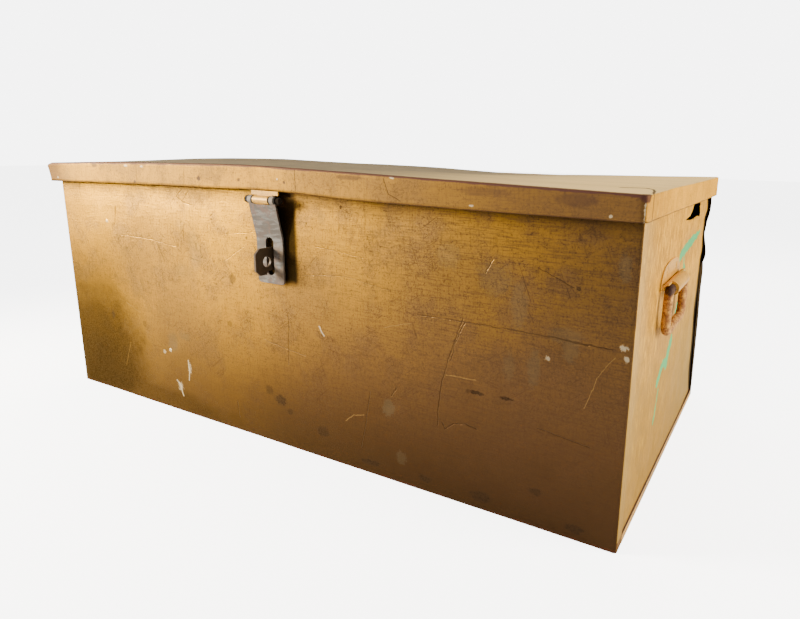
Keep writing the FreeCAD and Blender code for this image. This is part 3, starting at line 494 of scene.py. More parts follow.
def gold_base(g, grain, light, deep, streaks, depth=1.0):
    """Gold paint with a warm drift, brush streaks and dirt in its pores."""
    tone = g.mix(g.fade(grain["broad"], 0.34, 0.68, 0.0, 0.75), light, deep)
    patch = g.multiply(g.fade(grain["patches"], 0.44, 0.64), 0.60 * depth)
    tone = g.mix(patch, tone, deep)
    lines = g.multiply(g.fade(grain["streak"], 0.46, 0.64), streaks)
    tone = g.mix(lines, tone, g.mix(0.5, deep, GRIME))
    lines = g.multiply(g.fade(grain["cross"], 0.50, 0.68), 0.26 * depth)
    tone = g.mix(lines, tone, GRIME)
    bright = g.multiply(g.fade(grain["pores"], 0.47, 0.36), 0.30 * depth)
    tone = g.mix(bright, tone, light)
    pits = g.multiply(g.fade(grain["pores"], 0.53, 0.66), 0.72 * depth)
    tone = g.mix(pits, tone, GRIME)
    return g.over(tone, grain["hairs"], min(1.0, 0.80 * depth), GRIME)


def height_of(g, grain, extra=()):
    """Relief of the paint: fine grain, with scratches and chips cut below it."""
    relief = g.scaled(grain["streak"], 0.45, g.multiply(grain["pores"], 0.35))
    relief = g.scaled(grain["hairs"], -0.10, relief)
    for mask, rise in extra:
        relief = g.scaled(mask, rise, relief)
    return relief


def axis_values(g, place):
    """X, Y and Z of a place."""
    parts = g.add("ShaderNodeSeparateXYZ", (place,)).outputs
    return parts[0], parts[1], parts[2]


def frayed(g, place, amount):
    """The place pushed about by noise, so that straight strokes come out ragged."""
    inputs = {"Vector": place, "Scale": 160.0, "Detail": 2.0}
    push = g.add("ShaderNodeTexNoise", inputs).outputs["Color"]
    centred = g.vector("SUBTRACT", push, (0.5, 0.5, 0.5))
    moved = g.add("ShaderNodeVectorMath", {"Vector": centred, "Scale": amount}, operation="SCALE").outputs[0]
    return g.vector("ADD", place, moved)


def edge_wear(g, distance, rag, width):
    """Mask of chipped paint within a width of an edge; distance is measured from it."""
    reach = g.scaled(rag, width * 2.4, -width * 0.9)
    return g.fade(g.math("SUBTRACT", distance, reach), 0.0, 0.7 * MM, 1.0, 0.0)


def front_tone(g, grain, x, z):
    """The front's gold, browner to its foot and right (partly painted shade), under more painted shade."""
    to_right = g.fade(x, -0.12, 0.30)
    tone = gold_base(g, grain, GOLD_LIGHT, GOLD_DEEP, g.scaled(to_right, 0.42, 0.22))
    drift = g.scaled(z, -1.0, x)
    # Browner towards the lower right and the foot: partly the paint's own browning, partly painted shade.
    brown = g.multiply(g.fade(g.scaled(grain["patches"], 0.10, drift), -0.255, 0.265), 0.80)
    foot = g.multiply(g.fade(g.scaled(grain["patches"], 0.06, z), 0.265, 0.03), 0.86)
    tone = g.mix(brown, tone, BROWNED)
    tone = g.mix(foot, tone, rgb(0.110, 0.054, 0.024))
    # The painted shade gathers towards the foot, and on the left below the middle.
    painted_shade = g.fade(g.scaled(grain["patches"], 0.05, z), 0.235, 0.01)
    painted_shade = g.multiply(painted_shade, g.fade(x, -0.22, 0.08, 0.58, 0.74))
    left = g.multiply(g.fade(x, -0.20, -0.33), g.fade(z, 0.225, 0.130, 0.0, 0.56))
    painted_shade = g.math("SUBTRACT", 1.0, g.multiply(g.math("SUBTRACT", 1.0, painted_shade), g.math("SUBTRACT", 1.0, left)))
    return g.mix(painted_shade, tone, rgb(0.012, 0.006, 0.003))


def front_marks(g, place, grain, tone, low, high):
    """The tone with the marks of one band, the masks of its spots, and the relief of its strokes."""
    flat = flatten(g, place, "XZ")
    rag = g.scaled(g.noise(place, 200.0, 5.0, 0.8), 2.2, -1.32)
    soft_rag = g.scaled(grain["patches"], 0.9, -0.55)
    speck = g.fade(grain["pores"], 0.36, 0.58)
    marks = []
    for spots, strength, colour, fray in (
        (SOOT, 0.96, rgb(0.016, 0.008, 0.002), soft_rag),
        (FRONT_GREY_SPOTS, 0.60, SMUDGE, rag),
        (FRONT_DARK_SPOTS, 0.95, rgb(0.026, 0.015, 0.009), rag),
    ):
        mask = blobs(g, flat, nearby(spots, low, high), "XZ", fray)
        if mask:
            mask = g.multiply(mask, g.scaled(speck, -0.30, 1.0))
            tone = g.over(tone, mask, strength, colour)
            marks.append(mask)
    ragged = flatten(g, frayed(g, place, 2.4 * MM), "XZ")
    relief = []
    for lines, strength, colour, rise in (
        (FRONT_SCRATCHES, 0.80, rgb(0.030, 0.016, 0.008), -0.9),
        (FRONT_BRIGHT, 0.45, rgb(0.30, 0.17, 0.050), -0.1),
        (FRONT_WHITE_STROKES, 0.75, CHALK, 0.4),
    ):
        mask = strokes(g, ragged, nearby(lines, low, high), "XZ")
        if mask:
            broken = g.multiply(mask, g.scaled(speck, -0.35, 1.0))
            tone = g.over(tone, broken, strength, colour)
            relief.append((mask, rise))
    chipped = g.scaled(g.noise(place, 480.0, 4.0, 0.75), 3.6, -2.0)
    mask = blobs(g, flat, nearby(FRONT_WHITE_SPOTS, low, high), "XZ", chipped)
    if mask:
        tone = g.over(tone, mask, 0.8, CHALK)
        relief.append((mask, 0.8))
    return tone, marks, relief


def front_paint(band):
    """Gold front paint for one upright band of the panel, so that each point meets only the marks near it."""
    low, high = band
    material, g = new_material(f"gold_front_{round(low):+04d}".replace("+", "r").replace("-", "l"))
    place = g.place()
    x, _, z = axis_values(g, place)
    grain = paint_grain(g, place)
    tone, marks, relief = front_marks(g, place, grain, front_tone(g, grain, x, z), low, high)
    if low < STRAP_SHADOW_AND_STAIN_EDGE < high:
        # The painted shadow of the hasp's strap, over paint darkened by oil, behind and beside the hasp.
        wander = g.scaled(grain["patches"], 0.004, x)
        across = g.multiply(g.fade(wander, STRAP_SHADOW_AND_STAIN_EDGE * MM, 0.033), g.fade(x, -0.012, -0.004))
        strap_shadow_and_stain = g.multiply(across, g.fade(z, 0.184, 0.194))
        tone = g.over(tone, strap_shadow_and_stain, 0.96, rgb(0.006, 0.003, 0.001))
    # Bare and rusty metal along the folds and the bottom edge, and painted shade under the lid.
    wear_rag = g.noise(place, 60.0, 5.0, 0.75)
    to_edge = g.math("MINIMUM", g.math("SUBTRACT", BODY_RIGHT, x), g.math("SUBTRACT", x, BODY_LEFT))
    worn = edge_wear(g, to_edge, wear_rag, 0.9 * MM)
    tone = g.over(tone, worn, 0.8, rgb(0.040, 0.020, 0.010))
    rusty = edge_wear(g, z, wear_rag, 3.6 * MM)
    tone = g.over(tone, rusty, 0.8, RUST)
    shade_under_lid = g.multiply(g.fade(g.scaled(grain["patches"], 0.014, z), 0.266, 0.290), 0.75)
    tone = g.mix(shade_under_lid, tone, rgb(0.045, 0.022, 0.008))
    relief.append((worn, -0.5))
    roughness = g.scaled(grain["patches"], 0.22, 0.26)
    roughness = g.either([roughness, g.multiply(g.either([worn, rusty] + marks), 0.95)])
    finish_material(g, tone, roughness, height_of(g, grain, relief), metallic=0.72, Specular_IOR_Level=0.10,
                    Specular_Tint=WARM)
    return material


def end_paint(marked):
    """The dusty, paler gold of the ends. The right end also carries drips of mint green paint."""
    material, g = new_material("gold_end_marked" if marked else "gold_end")
    place = g.place()
    _, y, z = axis_values(g, place)
    grain = paint_grain(g, place)
    tone = gold_base(g, grain, GOLD_PALE, PALE_DEEP, 0.10, depth=0.55)
    brushed = g.noise(place, 210.0, 5.0, 0.74, stretch=(1, 1, 3.2))
    tone = g.over(tone, g.fade(brushed, 0.49, 0.60), 0.60, rgb(0.26, 0.126, 0.020))
    tone = g.over(tone, g.fade(brushed, 0.47, 0.38), 0.60, rgb(0.86, 0.47, 0.050))
    dusty = g.multiply(g.fade(g.scaled(grain["patches"], 0.06, y), -0.105, -0.185), 0.55)
    tone = g.mix(dusty, tone, rgb(0.46, 0.315, 0.130))
    olive = g.fade(g.scaled(grain["patches"], 0.05, z), 0.20, 0.06)
    olive = g.multiply(g.fade(y, -0.06, 0.14), olive)
    tone = g.over(tone, olive, 0.60, rgb(0.30, 0.200, 0.050))
    # Darker towards the bottom.
    low = g.multiply(g.fade(g.scaled(grain["patches"], 0.05, z), 0.17, 0.0), 0.55)
    tone = g.mix(low, tone, rgb(0.22, 0.110, 0.028))
    # Painted shade: the lower part of the end darker and more olive.
    tone = g.mix(g.fade(z, 0.22, 0.11, 0.0, 0.46), tone, rgb(0.215, 0.140, 0.022))
    rag = g.scaled(g.noise(place, 120.0, 5.0, 0.7), 1.3, -0.65)
    grimy = blobs(g, flatten(g, place, "YZ"), END_GRIME, "YZ", rag)
    tone = g.mix(grimy, tone, rgb(0.30, 0.150, 0.042))
    rise = []
    if marked:
        # Painted shadow of the gap beside the flange of the back panel, along the end's rear edge.
        crack = g.noise(place, 30.0, 2.0, 0.5, stretch=(1, 9, 1))
        crevice_shadow = g.fade(g.scaled(crack, 0.010, y), 0.1855, 0.1885)
        tone = g.over(tone, crevice_shadow, 0.97, rgb(0.006, 0.003, 0.002))
        ragged = flatten(g, frayed(g, place, 7.0 * MM), "YZ")
        green = strokes(g, ragged, END_GREEN_STROKES, "YZ")
        patchy = g.fade(g.scaled(g.noise(place, 130.0, 4.0, 0.65), 1.0, green), 0.94, 1.20)
        tone = g.over(tone, patchy, 0.95, g.mix(grain["patches"], MINT, rgb(0.06, 0.41, 0.17)))
        rise.append((patchy, 0.5))
    worn = edge_wear(g, g.math("SUBTRACT", z, 0.0085), g.noise(place, 40.0, 6.0, 0.75), 2.4 * MM)
    tone = g.over(tone, worn, 0.8, RUST)
    roughness = g.scaled(grain["patches"], 0.20, 0.42)
    finish_material(g, tone, roughness, height_of(g, grain, rise), metallic=0.35, Specular_IOR_Level=0.12,
                    Specular_Tint=WARM)
    return material


def lid_paint():
    """Gold flange, faded olive dust on top, bare purple-brown front fold, and some painted light and shade.
    """
    material, g = new_material("gold_lid")
    place = g.place()
    normal = g.add("ShaderNodeNewGeometry").outputs["Normal"]
    x, _, _ = axis_values(g, place)
    nx, ny, nz = axis_values(g, normal)
    grain = paint_grain(g, place)
    to_right = g.fade(x, 0.0, 0.30)
    flange = gold_base(g, grain, GOLD_LIGHT, GOLD_DEEP, g.scaled(to_right, 0.40, 0.12))
    flange = g.mix(0.50, flange, rgb(0.168, 0.082, 0.012))
    # Painted shade where the flange's rounded left end turns away from the light.
    flange = g.mix(g.fade(x, -0.345, -0.380, 0.0, 0.88), flange, rgb(0.085, 0.038, 0.010))
    flange = g.over(flange, to_right, 0.74, rgb(0.056, 0.030, 0.018))
    along = g.noise(place, 240.0, 4.0, 0.6, stretch=(60, 1, 1))
    dust = g.mix(g.fade(along, 0.45, 0.66), rgb(0.142, 0.112, 0.072), rgb(0.104, 0.080, 0.050))
    dust = g.over(dust, g.fade(grain["patches"], 0.36, 0.76), 0.34, rgb(0.34, 0.245, 0.115))
    # Towards the right the top turns lighter beige: partly its own less dusty colour, partly painted light.
    beige_and_painted_light = g.mix(g.fade(along, 0.45, 0.66), rgb(0.62, 0.43, 0.175), rgb(0.50, 0.34, 0.135))
    dust = g.mix(g.fade(x, 0.05, 0.36), dust, beige_and_painted_light)
    top = g.fade(nz, 0.55, 0.85)
    pale = gold_base(g, grain, GOLD_PALE, PALE_DEEP, 0.10, depth=0.5)
    brushed = g.noise(place, 210.0, 5.0, 0.74, stretch=(1, 1, 3.2))
    pale = g.over(pale, g.fade(brushed, 0.48, 0.66), 0.30, rgb(0.34, 0.160, 0.020))
    pale = g.over(pale, g.fade(brushed, 0.46, 0.34), 0.35, rgb(0.80, 0.46, 0.085))
    side = g.fade(g.math("ABSOLUTE", nx), 0.5, 0.85)
    tone = g.mix(side, flange, pale)
    tone = g.mix(top, tone, dust)
    flat = flatten(g, place, "XZ")
    rag = g.scaled(g.noise(place, 210.0, 4.0, 0.7), 1.1, -0.55)
    facing = g.fade(ny, -0.5, -0.85)
    seams = g.multiply(strokes(g, flatten(g, frayed(g, place, 1.5 * MM), "XZ"), LID_SEAMS, "XZ"), facing)
    tone = g.over(tone, seams, 0.75, GRIME)
    dark = g.multiply(blobs(g, flat, LID_DARK_SPOTS, "XZ", rag), facing)
    tone = g.mix(dark, tone, rgb(0.05, 0.026, 0.018))
    white = g.multiply(blobs(g, flat, LID_SPOTS, "XZ", g.multiply(rag, 1.3)), facing)
    tone = g.over(tone, white, 0.9, CHALK)
    # Wear follows the front fold, and the fold of both ends close to the front corners.
    edge = g.add("ShaderNodeAttribute", attribute_name="fold").outputs["Fac"]
    ragged = g.noise(place, 36.0, 6.0, 0.72)
    line = g.fade(g.math("ADD", edge, g.scaled(ragged, 1.1, -0.55)), 0.52, 0.70)
    tone = g.over(tone, line, 0.9, PURPLE_WEAR)
    lip = g.add("ShaderNodeAttribute", attribute_name="lip").outputs["Fac"]
    lower = g.fade(g.math("ADD", lip, g.scaled(ragged, 1.0, -0.5)), 0.70, 0.84)
    tone = g.over(tone, lower, 0.7, rgb(0.055, 0.026, 0.015))
    # White undercoat where chipped, together with a painted highlight, on the front corners and the end's top
    # fold.
    chips_and_highlight = g.add("ShaderNodeAttribute", attribute_name="chips_and_highlight").outputs["Fac"]
    bare = g.fade(g.math("ADD", chips_and_highlight, g.scaled(g.noise(place, 150.0, 5.0, 0.75), 1.8, -0.9)), 0.50, 0.75)
    tone = g.over(tone, bare, 0.75, rgb(0.54, 0.42, 0.24))
    seam = g.add("ShaderNodeAttribute", attribute_name="seam").outputs["Fac"]
    tone = g.over(tone, g.fade(seam, 0.45, 0.8), 0.9, rgb(0.05, 0.028, 0.014))
    cut = g.multiply(strokes(g, flatten(g, place, "XY"), LID_TOP_CUTS, "XY"), top)
    tone = g.over(tone, cut, 0.9, rgb(0.030, 0.016, 0.010))
    roughness = g.scaled(top, 0.06, g.scaled(grain["patches"], 0.2, 0.46))
    height = height_of(g, grain, ((line, -0.5), (seams, -0.8), (dark, -0.4), (white, 0.6)))
    finish_material(g, tone, roughness, height, metallic=0.25, Specular_IOR_Level=0.06, Specular_Tint=WARM)
    return material


def plain_paint(name, light, deep, rust_share):
    """Paint on the smaller pieces, rubbed through to rust in patches."""
    material, g = new_material(name)
    place = g.place()
    grain = paint_grain(g, place)
    tone = gold_base(g, grain, light, deep, 0.2, depth=0.8)
    rough = g.noise(place, 150.0, 6.0, 0.72)
    bare = g.fade(rough, 0.72 - 0.30 * rust_share, 0.78 - 0.30 * rust_share)
    tone = g.mix(bare, tone, g.mix(grain["pores"], RUST, rgb(0.17, 0.075, 0.035)))
    pointed = g.add("ShaderNodeNewGeometry").outputs["Pointiness"]
    crest = g.multiply(g.fade(pointed, 0.52, 0.58), 0.25)
    tone = g.mix(crest, tone, rgb(0.60, 0.36, 0.10))
    roughness = g.scaled(bare, 0.3, 0.42)
    height = height_of(g, grain, ((bare, -0.5),))
    finish_material(g, tone, roughness, height, metallic=0.2, Specular_IOR_Level=0.15)
    return material


def primer():
    """Matt red-oxide primer inside the chest, scuffed and dusty."""
    material, g = new_material("primer_inside")
    place = g.place()
    grain = paint_grain(g, place)
    tone = gold_base(g, grain, rgb(0.090, 0.038, 0.021), rgb(0.050, 0.021, 0.012), 0.2, depth=0.9)
    dust = g.multiply(g.fade(grain["patches"], 0.48, 0.7), 0.45)
    tone = g.mix(dust, tone, rgb(0.15, 0.095, 0.06))
    finish_material(g, tone, g.scaled(grain["patches"], 0.2, 0.62), height_of(g, grain))
    return material


def hasp_steel():
    """Bare worn steel: streaks across the leaf, pink-brown rust, brighter at the knuckles, painted shade in
    their gaps.
    """
    material, g = new_material("hasp_steel")
    place = g.place()
    x, _, z = axis_values(g, place)
    wave = g.noise(place, 170.0, 5.0, 0.66, stretch=(3.4, 3.4, 1), turn=(0, 0.22, 0))
    cloud = g.noise(place, 95.0, 6.0, 0.7)
    fine = g.noise(place, 1400.0, 2.0, 0.6)
    steel = g.mix(g.fade(wave, 0.45, 0.56), rgb(0.005, 0.005, 0.006), rgb(0.098, 0.104, 0.100))
    band = g.noise(place, 260.0, 3.0, 0.6, stretch=(9, 9, 1), turn=(0, -0.12, 0))
    steel = g.over(steel, g.fade(band, 0.47, 0.60), 0.75, rgb(0.014, 0.014, 0.015))
    steel = g.over(steel, g.fade(band, 0.46, 0.38), 0.75, rgb(0.160, 0.150, 0.136))
    steel = g.over(steel, g.fade(fine, 0.53, 0.62), 0.7, rgb(0.010, 0.008, 0.007))
    low = g.fade(z, 0.232, 0.200)
    spots = g.fade(g.scaled(low, 0.10, cloud), 0.52, 0.62)
    steel = g.over(steel, spots, 0.85, rgb(0.050, 0.020, 0.014))
    rust = g.fade(g.scaled(g.fade(z, 0.246, 0.266), 0.10, g.noise(place, 130.0, 5.0, 0.65)), 0.57, 0.64)
    steel = g.over(steel, rust, 0.80, rgb(0.115, 0.045, 0.028))
    gilt = g.fade(g.noise(place, 60.0, 3.0, 0.6, turn=(0, 1.1, 0)), 0.46, 0.56)
    gilt = g.multiply(g.multiply(gilt, g.fade(x, 0.002, 0.010)), g.fade(z, 0.236, 0.222))
    steel = g.over(steel, gilt, 0.65, rgb(0.150, 0.075, 0.014))
    # Darker along both long edges of the strap, partly as painted shade.
    edge = g.fade(g.math("ABSOLUTE", x), 0.0155, 0.0185)
    steel = g.over(steel, edge, 0.55, rgb(0.035, 0.022, 0.016))
    knuckle = g.fade(z, 0.2705, 0.2725)
    steel = g.over(steel, knuckle, 0.80, rgb(0.27, 0.22, 0.17))
    pointed = g.add("ShaderNodeNewGeometry").outputs["Pointiness"]
    steel = g.over(steel, g.fade(pointed, 0.515, 0.56), 0.5, rgb(0.17, 0.145, 0.12))
    # Painted shade in the gaps between the knuckles and at their ends.
    ring = g.fade(g.math("ABSOLUTE", g.math("SUBTRACT", g.math("ABSOLUTE", x), 0.0115)), 0.0017, 0.0010)
    ring = g.math("MAXIMUM", ring, g.fade(g.math("ABSOLUTE", x), 0.0172, 0.0180))
    steel = g.over(steel, g.multiply(ring, knuckle), 0.95, rgb(0.004, 0.003, 0.002))
    roughness = g.scaled(g.either([spots, rust, g.fade(band, 0.47, 0.60)]), 0.28, 0.52)
    relief = g.math("ADD", g.multiply(cloud, 0.6), g.multiply(wave, 0.5))
    finish_material(g, steel, roughness, relief, metallic=0.35, depth=0.5 * MM, Specular_IOR_Level=0.08)
    return material


def dark_steel(name, base, bright, metallic=0.55, shine=0.5):
    """Dark tarnished steel with bright worn edges."""
    material, g = new_material(name)
    place = g.place()
    cloud = g.noise(place, 240.0, 6.0, 0.7)
    fine = g.noise(place, 1500.0, 2.0, 0.6)
    tone = g.over(base, g.fade(cloud, 0.40, 0.65), 0.6, rgb(0.030, 0.017, 0.009))
    tone = g.over(tone, g.fade(fine, 0.56, 0.68), 0.4, bright)
    pointed = g.add("ShaderNodeNewGeometry").outputs["Pointiness"]
    tone = g.over(tone, g.fade(pointed, 0.515, 0.56), 0.8, bright)
    relief = g.math("ADD", cloud, g.multiply(fine, 0.3))
    roughness = g.scaled(cloud, 0.3, 0.40)
    finish_material(g, tone, roughness, relief, metallic=metallic, depth=0.3 * MM, Specular_IOR_Level=shine)
    return material


def bail_rod():
    """Rod with worn gold paint, rusty and pitted, and a purple-black painted shade where it turns in its
    hood.
    """
    material, g = new_material("bail_rod")
    place = g.place()
    cloud = g.noise(place, 210.0, 6.0, 0.72)
    pits = g.noise(place, 760.0, 3.0, 0.7)
    tone = g.mix(g.fade(cloud, 0.40, 0.58), rgb(0.56, 0.285, 0.060), rgb(0.230, 0.092, 0.026))
    tone = g.over(tone, g.fade(pits, 0.52, 0.64), 0.75, rgb(0.070, 0.026, 0.016))
    tone = g.over(tone, g.fade(pits, 0.40, 0.30), 0.7, rgb(0.56, 0.31, 0.06))
    _, _, z = axis_values(g, place)
    # Painted shade, tinted purple, at the top of the rod under its hood.
    pivot_shade = g.fade(g.scaled(cloud, 0.008, z), 0.2085, 0.2120)
    tone = g.over(tone, pivot_shade, 0.9, rgb(0.016, 0.006, 0.008))
    relief = g.math("ADD", g.multiply(cloud, 0.8), g.multiply(pits, 0.6))
    roughness = g.scaled(pits, 0.3, 0.48)
    finish_material(g, tone, roughness, relief, metallic=0.25, depth=0.8 * MM, Specular_IOR_Level=0.2)
    return material


def wire_zinc():
    """Dull zinc on the wire of the tray's grips and clips, with spangle and a little rust."""
    material, g = new_material("wire_zinc")
    place = g.place()
    cloud = g.noise(place, 160.0, 5.0, 0.65)
    spangle = g.add("ShaderNodeTexVoronoi", {"Vector": place, "Scale": 420.0}).outputs["Color"]
    tone = g.mix(g.fade(cloud, 0.45, 0.62), rgb(0.40, 0.39, 0.37), rgb(0.22, 0.20, 0.18))
    tone = g.mix(0.18, tone, spangle)
    tone = g.over(tone, g.fade(cloud, 0.62, 0.70), 0.8, RUST)
    finish_material(g, tone, g.scaled(cloud, 0.3, 0.30), cloud, metallic=0.75, depth=0.2 * MM)
    return material


FRONT_BANDS = np.linspace(BODY_LEFT, BODY_RIGHT, 8) / MM
PAINT_FRONT = [front_paint(band) for band in zip(FRONT_BANDS, FRONT_BANDS[1:])]
PAINT_RIGHT = end_paint(True)
PAINT_LEFT = end_paint(False)
PAINT_LID = lid_paint()
PRIMER = primer()
PAINT_SMALL = plain_paint("gold_small", GOLD_PALE, PALE_DEEP, 0.18)
PAINT_BACK = plain_paint("gold_back", GOLD_LIGHT, GOLD_DEEP, 0.10)
PAINT_TRAY = plain_paint("tray_paint", rgb(0.34, 0.20, 0.060), rgb(0.20, 0.105, 0.030), 0.34)
STEEL = hasp_steel()
DARK = dark_steel("dark_steel", rgb(0.013, 0.008, 0.004), rgb(0.065, 0.042, 0.023), 0.40, 0.25)
PIN = dark_steel("pin_steel", rgb(0.008, 0.006, 0.004), rgb(0.016, 0.012, 0.009), 0.0, 0.0)
# Near-black painted shade for the inward faces of the back sheet close to its ends.
SHADOWED = dark_steel("shade_inside_flange", rgb(0.006, 0.003, 0.002), rgb(0.010, 0.006, 0.004), 0.0, 0.05)
ROD = bail_rod()
ZINC = wire_zinc()


# ---------------------------------------------------------------- case

def panel_path(side, turned):
    """Plan of a wrapped panel from its left return round to its right: points and outward normals."""
    face = FRONT if side < 0 else BACK
    points, normals = [], []

    def put(px, py, nx, ny):
        points.append((px, py))
        normals.append((nx, ny))

    def corner(cx, cy, begin, finish):
        for angle in np.linspace(begin, finish, 6)[1:-1]:
            nx, ny = math.cos(angle), math.sin(angle)
            put(cx + FOLD * nx, cy + FOLD * ny, nx, ny)

    centre_y = face - side * FOLD
    if side < 0:
        left_return = spread(face - side * turned, centre_y, 3 * MM)
    else:
        left_return = spread(centre_y, face - turned, -3 * MM)[::-1]
    for py in left_return:
        put(BODY_LEFT, py, -1, 0)
    corner(BODY_LEFT + FOLD, centre_y, math.pi, math.pi + (math.pi / 2) * (1 if side < 0 else -1))
    for px in spread(BODY_LEFT + FOLD, BODY_RIGHT - FOLD, 4 * MM):
        put(px, face, 0, side)
    corner(BODY_RIGHT - FOLD, centre_y, side * math.pi / 2, 0)
    for py in np.linspace(centre_y, face - side * turned, 6):
        put(BODY_RIGHT, py, 1, 0)
    return np.array(points), np.array(normals)


def sheet_from_path(points, normals, heights, swell, shift=None):
    """Outer and inner grids of an upright sheet. swell(x, y, z) is along the normal, shift moves points."""
    x = np.repeat(points[:, :1], len(heights), 1)
    y = np.repeat(points[:, 1:], len(heights), 1)
    z = np.repeat(heights[None, :], len(points), 0)
    nx = np.repeat(normals[:, :1], len(heights), 1)
    ny = np.repeat(normals[:, 1:], len(heights), 1)
    rise = swell(x, y, z)
    if shift is not None:
        dx, dy, dz = shift(x, y, z)
        x, y, z = x + dx, y + dy, z + dz
    outer = np.stack([x + nx * rise, y + ny * rise, z], -1)
    inner = np.stack([x + nx * (rise - GAUGE), y + ny * (rise - GAUGE), z], -1)
    return outer, inner


def join_shells(parts):
    """One list of vertices and faces from several shells."""
    vertices, faces = [], []
    for points, quads in parts:
        first = len(vertices)
        vertices += [tuple(p) for p in points]
        faces += [tuple(first + i for i in q) for q in quads]
    return vertices, faces


FRONT_BUCKLE = ripples(3, 26, 0.42, 0.05)
FRONT_FINE = ripples(5, 40, 0.06, 0.018)


def front_swell(x, y, z):
    """Oil-canning and small dents of the front sheet, calm near its folds and its bottom edge."""
    calm = step(np.minimum(BODY_RIGHT - x, x - BODY_LEFT), 4 * MM, 40 * MM)
    calm = calm * (0.25 + 0.75 * step(z, 0.0, 0.05))
    rise = calm * (FRONT_BUCKLE(x, z) * 1.1 * MM + FRONT_FINE(x, z) * 0.14 * MM)
    for centre, radius, depth in (
        ((0.245, 0.115), 0.012, 0.9 * MM),
        ((0.275, 0.116), 0.011, 0.8 * MM),
        ((0.147, 0.080), 0.016, 0.9 * MM),
        ((-0.180, 0.090), 0.020, 0.8 * MM),
        ((0.262, 0.222), 0.030, 0.7 * MM),
        ((-0.128, 0.205), 0.030, 0.8 * MM),
        ((0.330, 0.176), 0.018, 0.7 * MM),
        ((-0.305, 0.040), 0.045, 1.2 * MM),
    ):
        rise = rise + dent(x, z, centre, radius, depth)
    edge = ripples(9, 14, 0.20, 0.02)
    rise = rise + (1 - step(z, 0.0, 9 * MM)) * edge(x, z) * 0.5 * MM * calm
    return np.where(np.abs(y - FRONT) < FOLD, rise, 0.25 * MM * FRONT_BUCKLE(y * 3, z))


def front_panel():
    """The wrapped front sheet and its hem, painted in upright bands."""
    points, normals = panel_path(-1, FRONT_RETURN)
    heights = np.concatenate([spread(0.0, 0.012, 1.5 * MM), spread(0.016, RIM, 4 * MM)])
    main = shell(*sheet_from_path(points, normals, heights, front_swell))
    hem_x = spread(BODY_LEFT + 5 * MM, BODY_RIGHT - 5 * MM, 6 * MM)
    hem = hem_strip(hem_x, lambda x, z: FRONT + GAUGE - front_swell(x, np.full_like(x, FRONT), z), 1)
    vertices, faces = join_shells([main, hem])
    bands = len(PAINT_FRONT)
    paints = PAINT_FRONT + [PAINT_LEFT, PAINT_RIGHT, PRIMER]
    piece = new_object("front_sheet", vertices, faces, "case", paints)
    for polygon in piece.data.polygons:
        if abs(polygon.normal.x) > 0.75:
            polygon.material_index = bands + (polygon.normal.x > 0)
            continue
        band = np.searchsorted(FRONT_BANDS, polygon.center.x / MM) - 1
        polygon.material_index = int(np.clip(band, 0, bands - 1))
    paint_inside(piece, inward_of_case, -0.3)
    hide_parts("front_panel")


# Thickness of a hem from its lower edge up to the rim.
HEM_DEPTH = np.array([0.7, 1.2, 1.2, 1.2, 0.9, 0.5]) * MM


def hem_strip(x, face_at, inward):
    """The doubled edge inside a front or back panel. face_at(x, z) is the inner face of the sheet."""
    z = RIM - np.array([10.0, 8.0, 4.0, 1.2, 0.3, 0.0]) * MM
    xx, zz = np.meshgrid(x, z, indexing="ij")
    base = face_at(xx, zz)
    near = np.stack([xx, base - inward * 0.02 * MM, zz], -1)
    far = np.stack([xx, base + inward * HEM_DEPTH, zz], -1)
    return shell(far, near)


def inward_of_case(centre, normal):
    """Positive where a face looks away from the middle of the case, negative where it looks inward."""
    if abs(normal.z) > 0.7:
        return 0.0
    return normal.x * centre.x / BODY_RIGHT + normal.y * centre.y / BACK


# The crumpled right rear corner, as (height in metres, mm along X): how far its fold is knocked in, where the
# open edge of its flange ends up, and how far the end panel is pushed in beside it. The end panel's push
# starts at PUSH_START, is full at PUSH_FULL, and is held at PUSH_MOST so that the tray still slides past.
FOLD_PUSH = [(0.0, 0.0), (0.05, -0.5), (0.10, -1.0), (0.15, -2.2), (0.185, -2.6), (0.20, -4.5), (0.297, -4.5)]
FLANGE_EDGE = [
    (0.0, 0.0), (0.052, -1.3), (0.086, -2.7), (0.122, -3.1), (0.149, -4.2), (0.166, -4.4), (0.179, -4.8),
    (0.187, -4.1), (0.195, -0.9), (0.202, -0.3), (0.210, -1.2), (0.219, -2.9), (0.227, -4.3),
    (0.236, -3.6), (0.244, -2.9), (0.253, -1.1), (0.262, -0.2), (0.276, -0.4), (0.297, -0.4),
]
END_PUSH = [
    (0.0, -0.5), (0.052, -2.6), (0.086, -3.2), (0.122, -4.7), (0.166, -5.9), (0.187, -6.5), (0.195, -4.8),
    (0.210, -3.5), (0.227, -5.3), (0.244, -5.4), (0.261, -2.5), (0.276, -3.3), (0.297, -3.3),
]
PUSH_START, PUSH_FULL = 105 * MM, 184 * MM
PUSH_MOST = -4.4
BACK_BUCKLE = ripples(15, 24, 0.40, 0.06)


def back_swell(x, y, z):
    """Oil-canning of the back sheet, calm near its folds and behind the hinges."""
    calm = step(np.minimum(BODY_RIGHT - x, x - BODY_LEFT), 4 * MM, 40 * MM)
    calm = calm * (1 - 0.9 * step(z, 0.225, 0.245))
    return np.where(np.abs(y - BACK) < FOLD, calm * BACK_BUCKLE(x, z) * 1.2 * MM - calm * 0.2 * MM, 0.0)


def back_shift(x, y, z):
    """The right rear corner is knocked in, and its flange is sprung open by a different amount."""
    corner = step(x, BODY_RIGHT - 30 * MM, BODY_RIGHT - 2 * MM)
    push = curve_through(z, FOLD_PUSH)
    open_edge = step(y, BACK - 2 * MM, BACK - BACK_RETURN) * (x > BODY_RIGHT - 1 * MM)
    out = (curve_through(z, FLANGE_EDGE) - push) * open_edge
    return (push * corner + out) * MM, np.zeros_like(x), np.zeros_like(x)


